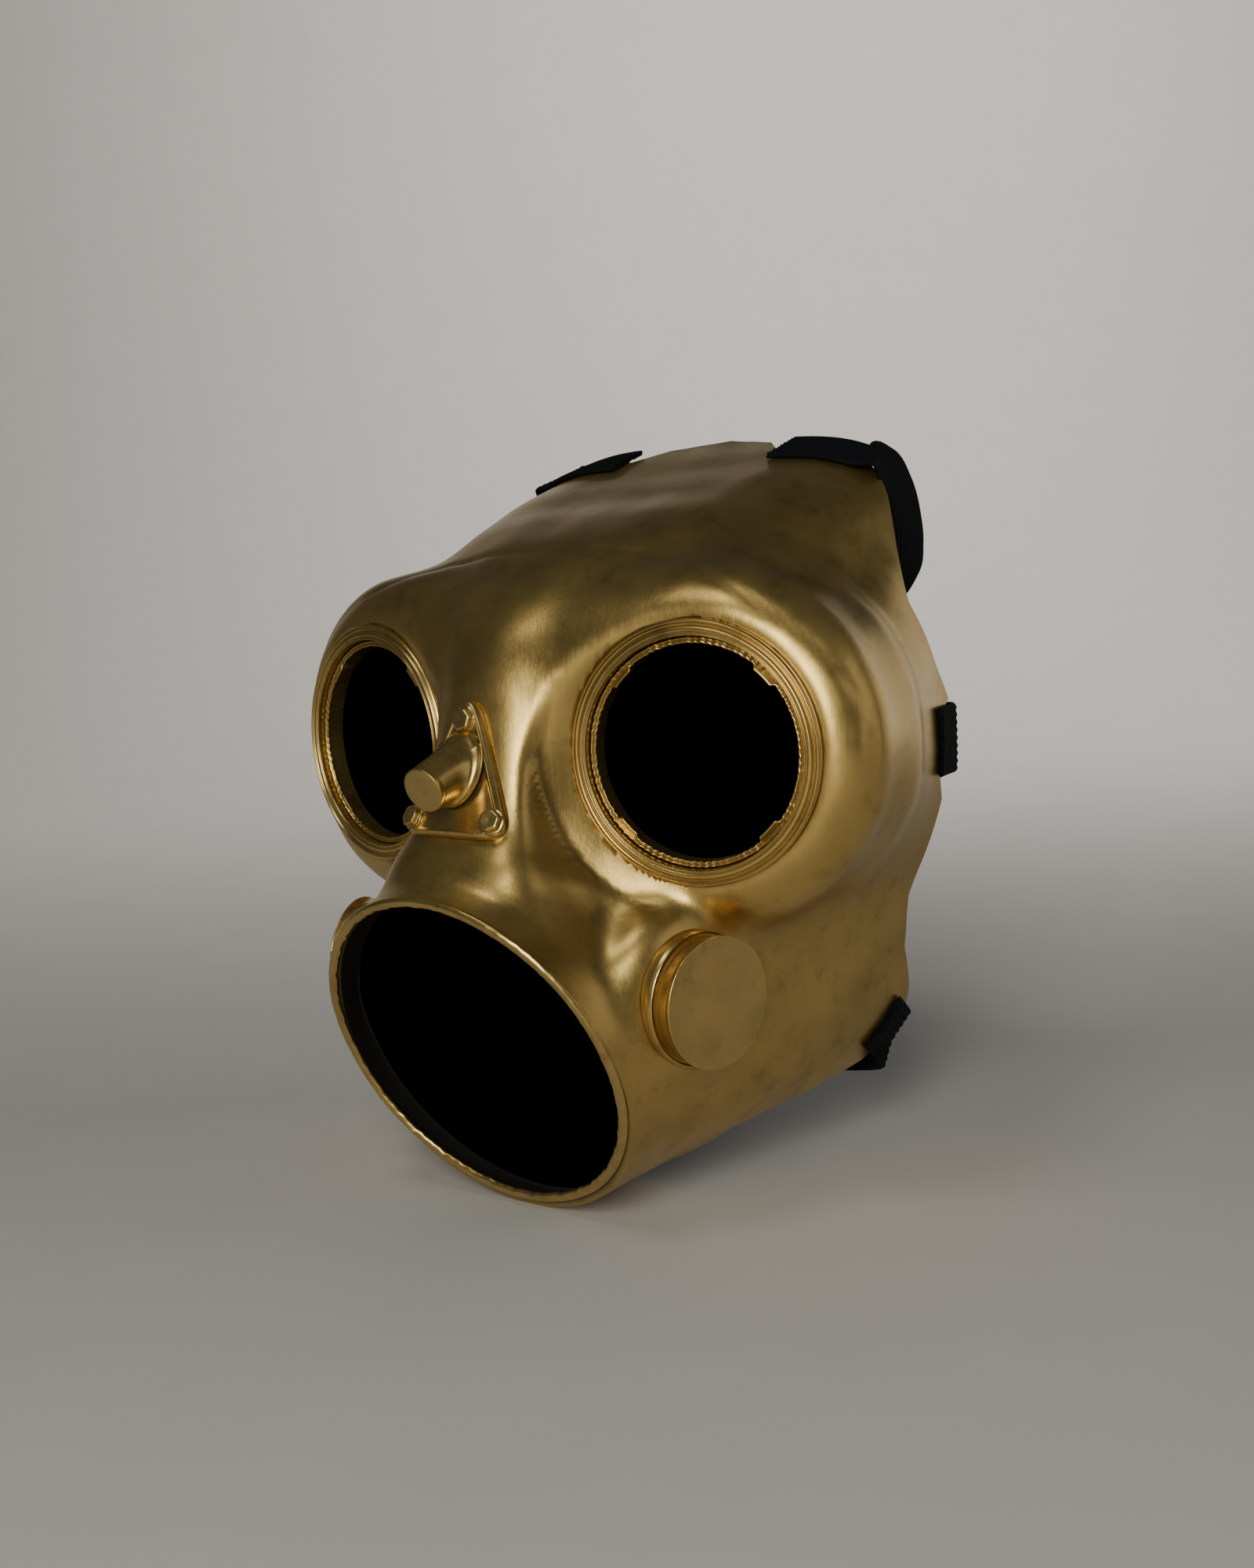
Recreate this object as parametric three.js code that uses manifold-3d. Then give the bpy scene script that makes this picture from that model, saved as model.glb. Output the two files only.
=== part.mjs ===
// A gas-mask style costume mask: a moulded gold shell with two eye ports, a nose plate with a spigot,
// a screw cap on each cheek, a round front opening and three black elastic bands across the back.
// Millimetres, +Z up. The wearer looks along -Y and +X is the wearer's left.
// The origin is midway between the centres of the two eye ports.
import * as THREE from 'three';
import { mergeVertices } from 'three/addons/utils/BufferGeometryUtils.js';
import Module from 'manifold-3d';

const wasm = await Module();
wasm.setup();

// ---- driving dimensions -------------------------------------------------------------------------
const WALL = 2.2; // shell thickness
const GAP = 0.3; // clearance between pieces that meet
const SKIN_GAP = 0.6; // clearance between the shell's skin and what is glued on it

const HEAD_HALF_WIDTH = 80; // shell half width at the ears
const HEAD_DEPTH = 104; // ear line to the brow
const HEAD_HEIGHT = 112; // head centre to the crown of the full head form
const HEAD_CENTRE = [0, 95, -14];
const FOREHEAD_FRONT = [0, 12, 51.3]; // where the flat forehead meets the brow
const FOREHEAD_SLOPE = 0.3152; // radians above level, going back

const EYE_SPREAD = 54.1; // centre line to an eye centre
const EYE_TURN = 0.205; // radians that each eye port turns outwards
const BOSS_R = 45.5; // moulded mound round an eye
const BOSS_ROUND = 14.5;
const BOSS_SET_BACK = 1.5; // eye plane to the mound's flat front
const SEAT_CLEARANCE = 1;
const SEAT_WALL = 3;
const SEAT_FLARE = 0.35; // how fast the seat's side opens, going forwards
const BEZEL_R = 33;
const BEZEL_NECK_R = 29.7;
const BEZEL_BORE_R = 28.7;
const BEZEL_NECK = 7; // how far the neck reaches in behind the eye plane
const RING_WIDTH = 1.6; // turning ring, bore to rim
const LUG_REACH = 1.2;
const LUG_COUNT = 4;
const SCRIM = 0.7; // cloth thickness

const MOUTH_CENTRE = [0, -27.4, -76.1];
const MOUTH_PITCH = 0.3805; // radians that the front opening looks down
const SNOUT_R = 46.2;
const SNOUT_BACK_R = 51;
const SNOUT_WIDENING = 0.17; // how much wider than high the snout is at its back
const RIM_OUT_R = 47.6;
const RIM_IN_R = 44.2;
const RIM_DEPTH = 1.5;
const MOUTH_SCRIM_DEPTH = 9;

const BROW_R = 19;
const NOSE_TOP_HALF = 9; // the nose ridge's half width at its top and foot
const NOSE_FOOT_HALF = 23;
const NOSE_DEPTH = 14.5;

const PLATE_HALF_BASE = 18; // nose plate
const PLATE_HEIGHT = 34.5;
const PLATE_THICK = 2.2;
const PLATE_CORNER = 4.5;
const BOLT_INSET = 4.4;
const BOLT_R = 3.1;
const BOLT_HEIGHT = 2;
const SPIGOT_BASE_R = 6.4;
const SPIGOT_TIP_R = 5.9;
const SPIGOT_LENGTH = 11;
const SPIGOT_PITCH = 0.335;
const SPIGOT_CAP = 1.6;

const CHEEK_TURN = 1.355; // radians from straight ahead to the cheek cap's axis
const CHEEK_SPOT = [52.2, -1.4, -60.6]; // middle of the moulded pad under a cheek cap
const CHEEK_FLANGE_R = 17.3;
const CHEEK_FLANGE_RISE = 0.8;
const CHEEK_HUB_R = 13.6;
const CHEEK_HUB_RISE = 3;
const CHEEK_CAP_R = 16.7;
const CHEEK_CAP_HEIGHT = 5.4;
const CHEEK_CAP_TOP = 1.8;

const BAND_WIDTH = 19;
const BAND_THICK = 1.3;

// ---- the shell's outer form, as one smooth field that is negative inside --------------------------
const v3 = (a) => new THREE.Vector3(...a);
const EYE = new THREE.Vector3(EYE_SPREAD, 0, 0);
const CHEEK_PAD = v3(CHEEK_SPOT);
const EYE_AXIS = new THREE.Vector3(Math.sin(EYE_TURN), -Math.cos(EYE_TURN), 0);
const MOUTH = v3(MOUTH_CENTRE);
const CHEEK_AXIS = new THREE.Vector3(Math.sin(CHEEK_TURN), -Math.cos(CHEEK_TURN), 0);
const MOUTH_AXIS = new THREE.Vector3(0, -Math.cos(MOUTH_PITCH), -Math.sin(MOUTH_PITCH));
const MOUTH_UP = new THREE.Vector3(0, -Math.sin(MOUTH_PITCH), Math.cos(MOUTH_PITCH));
const FOREHEAD_UP = new THREE.Vector3(0, -Math.sin(FOREHEAD_SLOPE), Math.cos(FOREHEAD_SLOPE));

function softMin(a, b, k) {
  const h = Math.max(k - Math.abs(a - b), 0) / k;
  return Math.min(a, b) - h * h * k * 0.25;
}

const softMax = (a, b, k) => -softMin(-a, -b, k);

// A rounded body: a superellipsoid with one power along all three axes.
function rounded(p, centre, half, power) {
  const q = p.clone().sub(v3(centre)).divide(v3(half));
  const size = (Math.abs(q.x) ** power + Math.abs(q.y) ** power + Math.abs(q.z) ** power) ** (1 / power);
  const slope = q.clone().divide(v3(half)).length() / Math.max(q.length(), 1e-9);
  return (size - 1) / Math.max(slope, 1e-6);
}

// A rounded body: a superellipse across X and Z, an ellipse along Y.
function egg(x, y, z, centre, half, power) {
  const u = Math.abs(x - centre[0]) / half[0];
  const v = Math.abs(y - centre[1]) / half[1];
  const w = Math.abs(z - centre[2]) / half[2];
  const size = Math.hypot((u ** power + w ** power) ** (1 / power), v);
  const slope = Math.hypot(u / half[0], v / half[1], w / half[2]) / Math.max(Math.hypot(u, v, w), 1e-9);
  return (0.9 * (size - 1)) / Math.max(slope, 1e-6);
}

// The nearest point of the line from a to b, and how far along it that is, from 0 to 1.
function nearestOnLine(p, a, b) {
  const run = b.clone().sub(a);
  const t = THREE.MathUtils.clamp(p.clone().sub(a).dot(run) / run.lengthSq(), 0, 1);
  return { t, point: a.clone().addScaledVector(run, t) };
}

// The bar of the brow, from the centre line out to the mounds.
function browBar(p) {
  const near = nearestOnLine(p, new THREE.Vector3(0, 8.5, 20), new THREE.Vector3(EYE_SPREAD, 23, 20));
  return p.distanceTo(near.point) - BROW_R;
}

// The ridge of the nose, which widens downwards.
function noseRidge(p) {
  const inPlane = new THREE.Vector3(0, p.y, p.z);
  const { t, point } = nearestOnLine(inPlane, new THREE.Vector3(0, 0, 8), new THREE.Vector3(0, -18.5, -30));
  const half = NOSE_TOP_HALF + (NOSE_FOOT_HALF - NOSE_TOP_HALF) * t;
  const size = Math.cbrt((p.x / half) ** 3 + (inPlane.distanceTo(point) / NOSE_DEPTH) ** 3);
  return (size - 1) * half * 0.85;
}

// How far a point is along an axis from an origin, and how far out from the axis.
function aboutAxis(p, origin, axis) {
  const q = p.clone().sub(origin);
  const along = q.dot(axis);
  return { along, across: Math.sqrt(Math.max(q.lengthSq() - along * along, 0)) };
}

// A thick disc with rounded edges, its front at a height above the origin's plane.
function puck(p, origin, axis, front, half, radius, round) {
  const { along, across } = aboutAxis(p, origin, axis);
  const dr = across - (radius - round);
  const dz = Math.abs(along - front + half) - (half - round);
  return Math.min(Math.max(dr, dz), 0) + Math.hypot(Math.max(dr, 0), Math.max(dz, 0)) - round;
}

// The flat seat that the bezel lies in, cut with a flared side into whatever bulges over it.
function eyeSeat(p) {
  const { along, across } = aboutAxis(p, EYE, EYE_AXIS);
  const height = along + BOSS_SET_BACK;
  return Math.max(0.94 * (across - BEZEL_R - SEAT_CLEARANCE - SEAT_FLARE * height), -height);
}

function snout(p) {
  const front = MOUTH.clone().addScaledVector(MOUTH_AXIS, 2);
  const back = new THREE.Vector3(0, 60, -66);
  const run = back.clone().sub(front);
  const length = run.length();
  run.normalize();
  const q = p.clone().sub(front);
  const along = q.dot(run);
  q.addScaledVector(run, -along);
  const t = THREE.MathUtils.clamp(along / length, 0, 1.3);
  const across = Math.hypot(q.x / (1 + SNOUT_WIDENING * t), q.y, q.z);
  return 0.95 * (across - (SNOUT_R + (SNOUT_BACK_R - SNOUT_R) * Math.min(t, 1)));
}

function skin(point) {
  const x = Math.abs(point.x);
  const { y, z } = point;
  const p = new THREE.Vector3(x, y, z);
  const low = -z - 10;
  const taper = 1 - 0.0008 * (low + Math.sqrt(low * low + 150));
  let head = egg(x / taper, y, z, HEAD_CENTRE, [HEAD_HALF_WIDTH, HEAD_DEPTH, HEAD_HEIGHT], 2.3);
  head = softMax(head, p.clone().sub(v3(FOREHEAD_FRONT)).dot(FOREHEAD_UP), 14);
  const temple = egg(x, y, z, [0, 44, -2], [HEAD_HALF_WIDTH + 6.5, 54, 46], 2.6);
  head = softMin(head, temple, 20);
  const mound = puck(p, EYE, EYE_AXIS, -BOSS_SET_BACK, 24, BOSS_R, BOSS_ROUND);
  head = softMin(softMin(head, mound, 9), browBar(p), 12);
  const jaw = rounded(p, [0, 58, -64], [HEAD_HALF_WIDTH - 19, 76, 48], 2.2);
  const muzzle = softMin(softMin(snout(p), jaw, 15), noseRidge(p), 14);
  const pad = puck(p, CHEEK_PAD, CHEEK_AXIS, 0, 12, CHEEK_FLANGE_R + 4, 8);
  return softMax(softMin(softMin(head, muzzle, 13), pad, 6), -eyeSeat(p), 1);
}

function skinNormal(p) {
  const step = 0.4;
  const n = new THREE.Vector3();
  for (const axis of ['x', 'y', 'z']) {
    const a = p.clone();
    const b = p.clone();
    a[axis] += step;
    b[axis] -= step;
    n[axis] = skin(a) - skin(b);
  }
  return n.normalize();
}

// Goes from an inner point along a direction until it leaves the shell's form.
function reachSkin(from, direction, start = 8) {
  const at = (t) => from.clone().addScaledVector(direction, t);
  let inner = start;
  let outer = start;
  while (skin(at(outer)) < 0) {
    inner = outer;
    outer += 2;
  }
  for (let i = 0; i < 22; i += 1) {
    const middle = (inner + outer) / 2;
    if (skin(at(middle)) < 0) inner = middle;
    else outer = middle;
  }
  return at(outer);
}

// ---- the shell: a grid from the front opening's rim to the back edge --------------------------------
const HUB = new THREE.Vector3(0, 55, -20); // a point inside that sees the whole skin
const HUB_AXIS = MOUTH.clone().sub(HUB).normalize();
const HUB_SIDE = new THREE.Vector3(1, 0, 0);
const HUB_UP = new THREE.Vector3().crossVectors(HUB_SIDE, HUB_AXIS).negate();
if (HUB_UP.z < 0) HUB_UP.negate();

// The back edge on the wearer's left, from the top centre down to under the chin, with its three tabs.
// Each point only aims from the hub: the edge itself lies on the skin.
const EDGE_AIMS = [
  [0, 104, 81], [10, 101.5, 80.3], [18, 98, 79], [27, 88, 76], [33, 96, 79], [44, 98, 79.5],
  [56, 90, 71], [62, 84, 60], [66, 78, 47], [75, 73.5, 33], [78, 79, 15], [80, 85, 6],
  [80, 77, 4], [80, 77, -14], [75, 80, -21], [71, 76, -35], [70, 73, -46], [68, 75, -61],
  [65, 82, -74], [63, 84, -82], [56, 73, -95], [53, 52, -99], [52, 38, -101], [45, 25, -107],
  [36, 22, -113], [20, 20, -120], [0, 20, -124],
];
const GRID_ROWS = 20;

function hubAngles(point) {
  const d = point.clone().sub(HUB).normalize();
  return [Math.atan2(d.x, d.dot(HUB_UP)), Math.acos(d.dot(HUB_AXIS))];
}

function hubDirection(turn, open) {
  return HUB_AXIS.clone()
    .multiplyScalar(Math.cos(open))
    .addScaledVector(HUB_UP, Math.sin(open) * Math.cos(turn))
    .addScaledVector(HUB_SIDE, Math.sin(open) * Math.sin(turn));
}

// The point of the snout's front edge at an angle round the opening.
function snoutEdge(angle) {
  const centre = MOUTH.clone().addScaledVector(MOUTH_AXIS, -(RIM_DEPTH + GAP));
  const out = MOUTH_UP.clone().multiplyScalar(Math.cos(angle));
  out.addScaledVector(HUB_SIDE, Math.sin(angle));
  return reachSkin(centre, out, 20);
}

function shellColumns() {
  const half = EDGE_AIMS.map((aim, i) => {
    const [turn, open] = hubAngles(v3(aim));
    const even = (Math.PI * i) / (EDGE_AIMS.length - 1);
    const front = snoutEdge(0.5 * (even + turn));
    const [frontTurn, frontOpen] = hubAngles(front);
    return { turn, open, front, frontTurn, frontOpen };
  });
  const mirrored = half.slice(1, -1).reverse().map((c) => ({
    turn: -c.turn,
    open: c.open,
    front: c.front.clone().multiply(new THREE.Vector3(-1, 1, 1)),
    frontTurn: -c.frontTurn,
    frontOpen: c.frontOpen,
  }));
  return [...half, ...mirrored];
}

function columnPoints(column) {
  const outer = [column.front];
  for (let row = 1; row <= GRID_ROWS; row += 1) {
    const t = row / GRID_ROWS;
    const turn = column.frontTurn + (column.turn - column.frontTurn) * t;
    const open = column.frontOpen + (column.open - column.frontOpen) * t;
    outer.push(reachSkin(HUB, hubDirection(turn, open)));
  }
  const inner = outer.map((p, row) => {
    const n = skinNormal(p);
    if (row === 0) n.addScaledVector(MOUTH_AXIS, -n.dot(MOUTH_AXIS)).normalize();
    return p.clone().addScaledVector(n, -WALL);
  });
  return [...outer, ...inner.reverse()];
}

// Joins rows of points, each row a closed loop, into a closed ring-shaped body. The second half's
// four-sided faces are split the other way, so that the body is its own mirror image.
function ringSolid(columns) {
  const loops = columns.length;
  const size = columns[0].length;
  const positions = columns.flat().flatMap((p) => [p.x, p.y, p.z]);
  const index = [];
  for (let i = 0; i < loops; i += 1) {
    const next = (i + 1) % loops;
    for (let j = 0; j < size; j += 1) {
      const k = (j + 1) % size;
      const [a, b, c, d] = [i * size + j, next * size + j, next * size + k, i * size + k];
      if (i < loops / 2) index.push(a, c, d, a, b, c);
      else index.push(a, b, d, b, c, d);
    }
  }
  return indexed(positions, index);
}

// The whole form inside the skin, from the same columns, closed by a fan at the front and at the back.
function filledForm(columns) {
  const rows = GRID_ROWS + 1;
  const count = columns.length;
  const outer = columns.map((points) => points.slice(0, rows));
  const middle = (row) => outer.reduce((sum, points) => sum.add(points[row]), new THREE.Vector3())
    .divideScalar(count);
  const positions = [...outer.flat(), middle(0), middle(GRID_ROWS)].flatMap((p) => [p.x, p.y, p.z]);
  const front = count * rows;
  const index = [];
  for (let i = 0; i < count; i += 1) {
    const here = i * rows;
    const next = ((i + 1) % count) * rows;
    index.push(front, next, here, front + 1, here + GRID_ROWS, next + GRID_ROWS);
    for (let j = 0; j < GRID_ROWS; j += 1) {
      const [a, b, c, d] = [here + j, next + j, next + j + 1, here + j + 1];
      if (i < count / 2) index.push(a, c, d, a, b, c);
      else index.push(a, b, d, b, c, d);
    }
  }
  return indexed(positions, index);
}

function indexed(positions, index) {
  const geometry = new THREE.BufferGeometry();
  geometry.setAttribute('position', new THREE.Float32BufferAttribute(positions, 3));
  geometry.setIndex(index);
  geometry.computeVertexNormals();
  return geometry;
}

// ---- booleans ---------------------------------------------------------------------------------------
function toSolid(geometry) {
  const bare = geometry.clone();
  bare.deleteAttribute('normal');
  bare.deleteAttribute('uv');
  const merged = mergeVertices(bare, 1e-4);
  return new wasm.Manifold(new wasm.Mesh({
    numProp: 3,
    vertProperties: new Float32Array(merged.attributes.position.array),
    triVerts: new Uint32Array(merged.index.array),
  }));
}

function fromSolid(solid) {
  const mesh = solid.getMesh();
  return indexed(Array.from(mesh.vertProperties), Array.from(mesh.triVerts));
}

// ---- helpers for placing pieces -------------------------------------------------------------------------
const LATHE_AXIS = new THREE.Vector3(0, 1, 0);

// Turns a piece made about +Y so that it lies along an axis from an origin, and leaves it in place.
function placed(geometry, origin, axis) {
  const turn = new THREE.Quaternion().setFromUnitVectors(LATHE_AXIS, axis);
  return geometry.clone().applyQuaternion(turn).translate(origin.x, origin.y, origin.z);
}

function lathe(profile, segments = 40) {
  return new THREE.LatheGeometry(profile.map(([r, w]) => new THREE.Vector2(r, w)), segments);
}

function disc(radius, low, high, segments = 40) {
  return new THREE.CylinderGeometry(radius, radius, high - low, segments).translate(0, (low + high) / 2, 0);
}

function mirrorX(geometry) {
  const twin = geometry.clone();
  twin.scale(-1, 1, 1);
  const source = twin.index ? Array.from(twin.index.array) : [...Array(twin.attributes.position.count).keys()];
  for (let i = 0; i < source.length; i += 3) [source[i + 1], source[i + 2]] = [source[i + 2], source[i + 1]];
  twin.setIndex(source);
  twin.computeVertexNormals();
  return twin;
}

// The skin's height above a frame's plane, at a spot given by u and v.
function skinHeight(frame, u, v) {
  const depth = 14;
  const start = frame.origin.clone().addScaledVector(frame.u, u).addScaledVector(frame.v, v);
  start.addScaledVector(frame.n, -depth);
  return reachSkin(start, frame.n, 0).sub(start).dot(frame.n) - depth;
}

const highestSkin = (frame, spots) => Math.max(...spots.map(([u, v]) => skinHeight(frame, u, v)));

// A pad whose back follows the skin. The outline is in the frame's u and v; front gives the height of its
// face above the frame's plane, from u, v and the height of the skin there.
function skinPad(outline, frame, front, rings = 3) {
  const lift = (u, v, h) => frame.origin.clone()
    .addScaledVector(frame.u, u).addScaledVector(frame.v, v).addScaledVector(frame.n, h);
  const count = outline.length;
  const spots = [[0, 0]];
  for (let k = 1; k <= rings; k += 1) outline.forEach(([u, v]) => spots.push([(u * k) / rings, (v * k) / rings]));
  const heights = spots.map(([u, v]) => skinHeight(frame, u, v));
  const back = spots.map(([u, v], i) => lift(u, v, heights[i] + SKIN_GAP));
  const face = spots.map(([u, v], i) => lift(u, v, front(u, v, heights[i])));
  const positions = [...back, ...face].flatMap((p) => [p.x, p.y, p.z]);
  const top = spots.length;
  const index = [];
  const quad = (a, b, c, d) => index.push(a, b, c, a, c, d);
  for (let i = 0; i < count; i += 1) {
    const j = (i + 1) % count;
    index.push(0, 1 + j, 1 + i, top, top + 1 + i, top + 1 + j);
    for (let k = 1; k < rings; k += 1) {
      const a = 1 + (k - 1) * count;
      const b = 1 + k * count;
      quad(a + i, a + j, b + j, b + i);
      quad(top + a + i, top + b + i, top + b + j, top + a + j);
    }
    const rim = 1 + (rings - 1) * count;
    quad(rim + i, rim + j, top + rim + j, top + rim + i);
  }
  return indexed(positions, index);
}

// A flat band along a path. Each station has a point and the direction of the band's width.
function bandSolid(stations, width = BAND_WIDTH, thick = BAND_THICK) {
  const positions = [];
  const last = stations.length - 1;
  stations.forEach(({ point, across }, i) => {
    const ahead = stations[Math.min(i + 1, last)].point;
    const behind = stations[Math.max(i - 1, 0)].point;
    const normal = new THREE.Vector3().crossVectors(ahead.clone().sub(behind).normalize(), across).normalize();
    for (const [a, b] of [[-1, -1], [1, -1], [1, 1], [-1, 1]]) {
      const corner = point.clone().addScaledVector(across, (a * width) / 2).addScaledVector(normal, (b * thick) / 2);
      positions.push(corner.x, corner.y, corner.z);
    }
  });
  const index = [0, 2, 1, 0, 3, 2];
  for (let i = 0; i < last; i += 1) {
    for (let j = 0; j < 4; j += 1) {
      const k = (j + 1) % 4;
      index.push(i * 4 + j, i * 4 + k, (i + 1) * 4 + k, i * 4 + j, (i + 1) * 4 + k, (i + 1) * 4 + j);
    }
  }
  const end = last * 4;
  index.push(end, end + 1, end + 2, end, end + 2, end + 3);
  return indexed(positions, index);
}

function circleOutline(radius, count, centreV = 0) {
  const out = [];
  for (let i = 0; i < count; i += 1) {
    const a = (2 * Math.PI * i) / count;
    out.push([radius * Math.cos(a), centreV + radius * Math.sin(a)]);
  }
  return out;
}

// A polygon with rounded corners, and points along its straight sides at most a spacing apart.
function roundedOutline(corners, radius, spacing, steps = 3) {
  const bends = cornerBends(corners, radius, steps);
  return bends.flatMap((bend, i) => {
    const from = bend[bend.length - 1];
    const to = bends[(i + 1) % bends.length][0];
    const count = Math.ceil(from.distanceTo(to) / spacing);
    const side = [];
    for (let k = 1; k < count; k += 1) side.push(from.clone().lerp(to, k / count));
    return [...bend, ...side].map((p) => [p.x, p.y]);
  });
}

function cornerBends(corners, radius, steps) {
  const count = corners.length;
  return corners.map((corner, i) => {
    const c = new THREE.Vector2(...corner);
    const before = new THREE.Vector2(...corners[(i + count - 1) % count]).sub(c).normalize();
    const after = new THREE.Vector2(...corners[(i + 1) % count]).sub(c).normalize();
    const half = Math.acos(before.dot(after)) / 2;
    const reach = radius / Math.tan(half);
    const from = c.clone().addScaledVector(before, reach);
    const to = c.clone().addScaledVector(after, reach);
    return new THREE.QuadraticBezierCurve(from, c, to).getPoints(steps);
  });
}

// ---- shell ------------------------------------------------------------------------------------------
// Each eye gets a moulded seat: a thick collar inside the wall, bored for the bezel's neck, with the skin
// cleared from over the bezel's flange.
function faceShell() {
  const columns = shellColumns().map(columnPoints);
  const bothEyes = (part) => {
    const left = placed(part, EYE, EYE_AXIS);
    return toSolid(left).add(toSolid(mirrorX(left)));
  };
  const high = 24;
  const seatR = BEZEL_R + SEAT_CLEARANCE;
  const collar = disc(seatR + SEAT_WALL, -BOSS_SET_BACK - SEAT_WALL, high / 2, 44);
  const seat = new THREE.CylinderGeometry(seatR + SEAT_FLARE * high, seatR, high, 44)
    .translate(0, high / 2 - BOSS_SET_BACK, 0);
  return fromSolid(toSolid(ringSolid(columns))
    .add(bothEyes(collar).intersect(toSolid(filledForm(columns))))
    .subtract(bothEyes(disc(BEZEL_NECK_R + GAP, -16, 8, 44)))
    .subtract(bothEyes(seat)));
}

// ---- eye ports ----------------------------------------------------------------------------------------
function eyeBezel() {
  const seat = GAP - BOSS_SET_BACK;
  const profile = [
    [BEZEL_BORE_R, -BEZEL_NECK],
    [BEZEL_NECK_R, -BEZEL_NECK],
    [BEZEL_NECK_R, seat],
    [BEZEL_R, seat],
    [BEZEL_R, 0],
    [BEZEL_R - 0.6, 0.7],
    [BEZEL_R - 1.4, 0.7],
    [BEZEL_R - 1.9, -0.3],
    [BEZEL_R - 2.4, -0.3],
    [BEZEL_R - 2.8, 0.9],
    [BEZEL_BORE_R + 0.5, 0.9],
    [BEZEL_BORE_R, 0.2],
    [BEZEL_BORE_R, -BEZEL_NECK],
  ];
  return lathe(profile, 44);
}

function eyeRing() {
  const outer = BEZEL_BORE_R - GAP;
  const inner = outer - RING_WIDTH;
  const low = -BEZEL_NECK + GAP;
  const high = -1.2;
  const hoop = [[inner, low], [outer, low], [outer, high], [inner, high], [inner, low]];
  let solid = toSolid(lathe(hoop));
  for (let i = 0; i < LUG_COUNT; i += 1) {
    const lug = new THREE.BoxGeometry(LUG_REACH + RING_WIDTH * 0.5, 1.6, 5);
    lug.translate(inner + (RING_WIDTH * 0.5 - LUG_REACH) / 2, high - 1.4, 0);
    lug.rotateY((2 * Math.PI * (i + 0.5)) / LUG_COUNT);
    solid = solid.add(toSolid(lug));
  }
  return fromSolid(solid);
}

function eyeScrim() {
  const high = -BEZEL_NECK - GAP;
  return disc(BEZEL_NECK_R - 0.2, high - SCRIM, high);
}

// ---- front opening ------------------------------------------------------------------------------------
function mouthRim() {
  const round = 0.6;
  const profile = [
    [RIM_IN_R, -RIM_DEPTH],
    [RIM_OUT_R, -RIM_DEPTH],
    [RIM_OUT_R, -round],
    [RIM_OUT_R - round, 0],
    [RIM_IN_R + round, 0],
    [RIM_IN_R, -round],
    [RIM_IN_R, -RIM_DEPTH],
  ];
  return lathe(profile, 48);
}

const mouthScrim = () => disc(SNOUT_R - WALL - 1.2, -MOUTH_SCRIM_DEPTH - SCRIM, -MOUTH_SCRIM_DEPTH, 36);

// ---- nose ---------------------------------------------------------------------------------------------
function frameOnSkin(aim, normal, up) {
  const inside = aim.clone().addScaledVector(normal, -14);
  const origin = reachSkin(inside, normal, 0);
  const v = up.clone().addScaledVector(normal, -up.dot(normal)).normalize();
  return { origin, n: normal, v, u: new THREE.Vector3().crossVectors(v, normal) };
}

const NOSE_TILT = 0.3848; // radians that the plate looks up
const NOSE = frameOnSkin(
  new THREE.Vector3(0, -24, -3),
  new THREE.Vector3(0, -Math.cos(NOSE_TILT), Math.sin(NOSE_TILT)),
  new THREE.Vector3(0, 0, 1),
);
const PLATE_LOW = -PLATE_HEIGHT / 2;

function nosePoint(u, v) {
  const flat = NOSE.origin.clone().addScaledVector(NOSE.u, u).addScaledVector(NOSE.v, v);
  return reachSkin(flat.addScaledVector(NOSE.n, -14), NOSE.n, 0);
}

function nosePlate() {
  const corners = [[-PLATE_HALF_BASE, PLATE_LOW], [PLATE_HALF_BASE, PLATE_LOW], [0, -PLATE_LOW + 3]];
  const outline = roundedOutline(corners, PLATE_CORNER, 5);
  return skinPad(outline, NOSE, (u, v, h) => h + SKIN_GAP + PLATE_THICK, 4);
}

function noseBolt(u, v) {
  const foot = nosePoint(u, v);
  const axis = skinNormal(foot);
  const low = SKIN_GAP + PLATE_THICK + GAP + 0.15;
  return placed(disc(BOLT_R, low, low + BOLT_HEIGHT, 6), foot, axis);
}

const SPIGOT_AXIS = new THREE.Vector3(0, -Math.cos(SPIGOT_PITCH), -Math.sin(SPIGOT_PITCH));
const SPIGOT_UP = 0; // the spigot's foot above the plate's middle
const SPIGOT_LIFT = highestSkin(NOSE, circleOutline(SPIGOT_BASE_R + 2.6, 16, SPIGOT_UP));
const SPIGOT_FOOT = NOSE.origin.clone()
  .addScaledVector(NOSE.v, SPIGOT_UP)
  .addScaledVector(NOSE.n, SPIGOT_LIFT + SKIN_GAP + PLATE_THICK + GAP);

function noseSpigot() {
  const buried = 12;
  const flare = (SPIGOT_BASE_R - SPIGOT_TIP_R) / SPIGOT_LENGTH;
  const cone = new THREE.CylinderGeometry(
    SPIGOT_TIP_R, SPIGOT_BASE_R + flare * buried, SPIGOT_LENGTH + buried, 28,
  ).translate(0, (SPIGOT_LENGTH - buried) / 2, 0);
  const below = new THREE.BoxGeometry(80, 40, 80).translate(0, -20, 0);
  const solid = toSolid(placed(cone, SPIGOT_FOOT, SPIGOT_AXIS));
  return fromSolid(solid.subtract(toSolid(placed(below, SPIGOT_FOOT, NOSE.n))));
}

function spigotCap() {
  const low = SPIGOT_LENGTH + GAP;
  return placed(disc(SPIGOT_TIP_R, low, low + SPIGOT_CAP, 28), SPIGOT_FOOT, SPIGOT_AXIS);
}

// ---- cheek caps -----------------------------------------------------------------------------------------
const CHEEK = frameOnSkin(CHEEK_PAD, CHEEK_AXIS, new THREE.Vector3(0, 0, 1));

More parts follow.
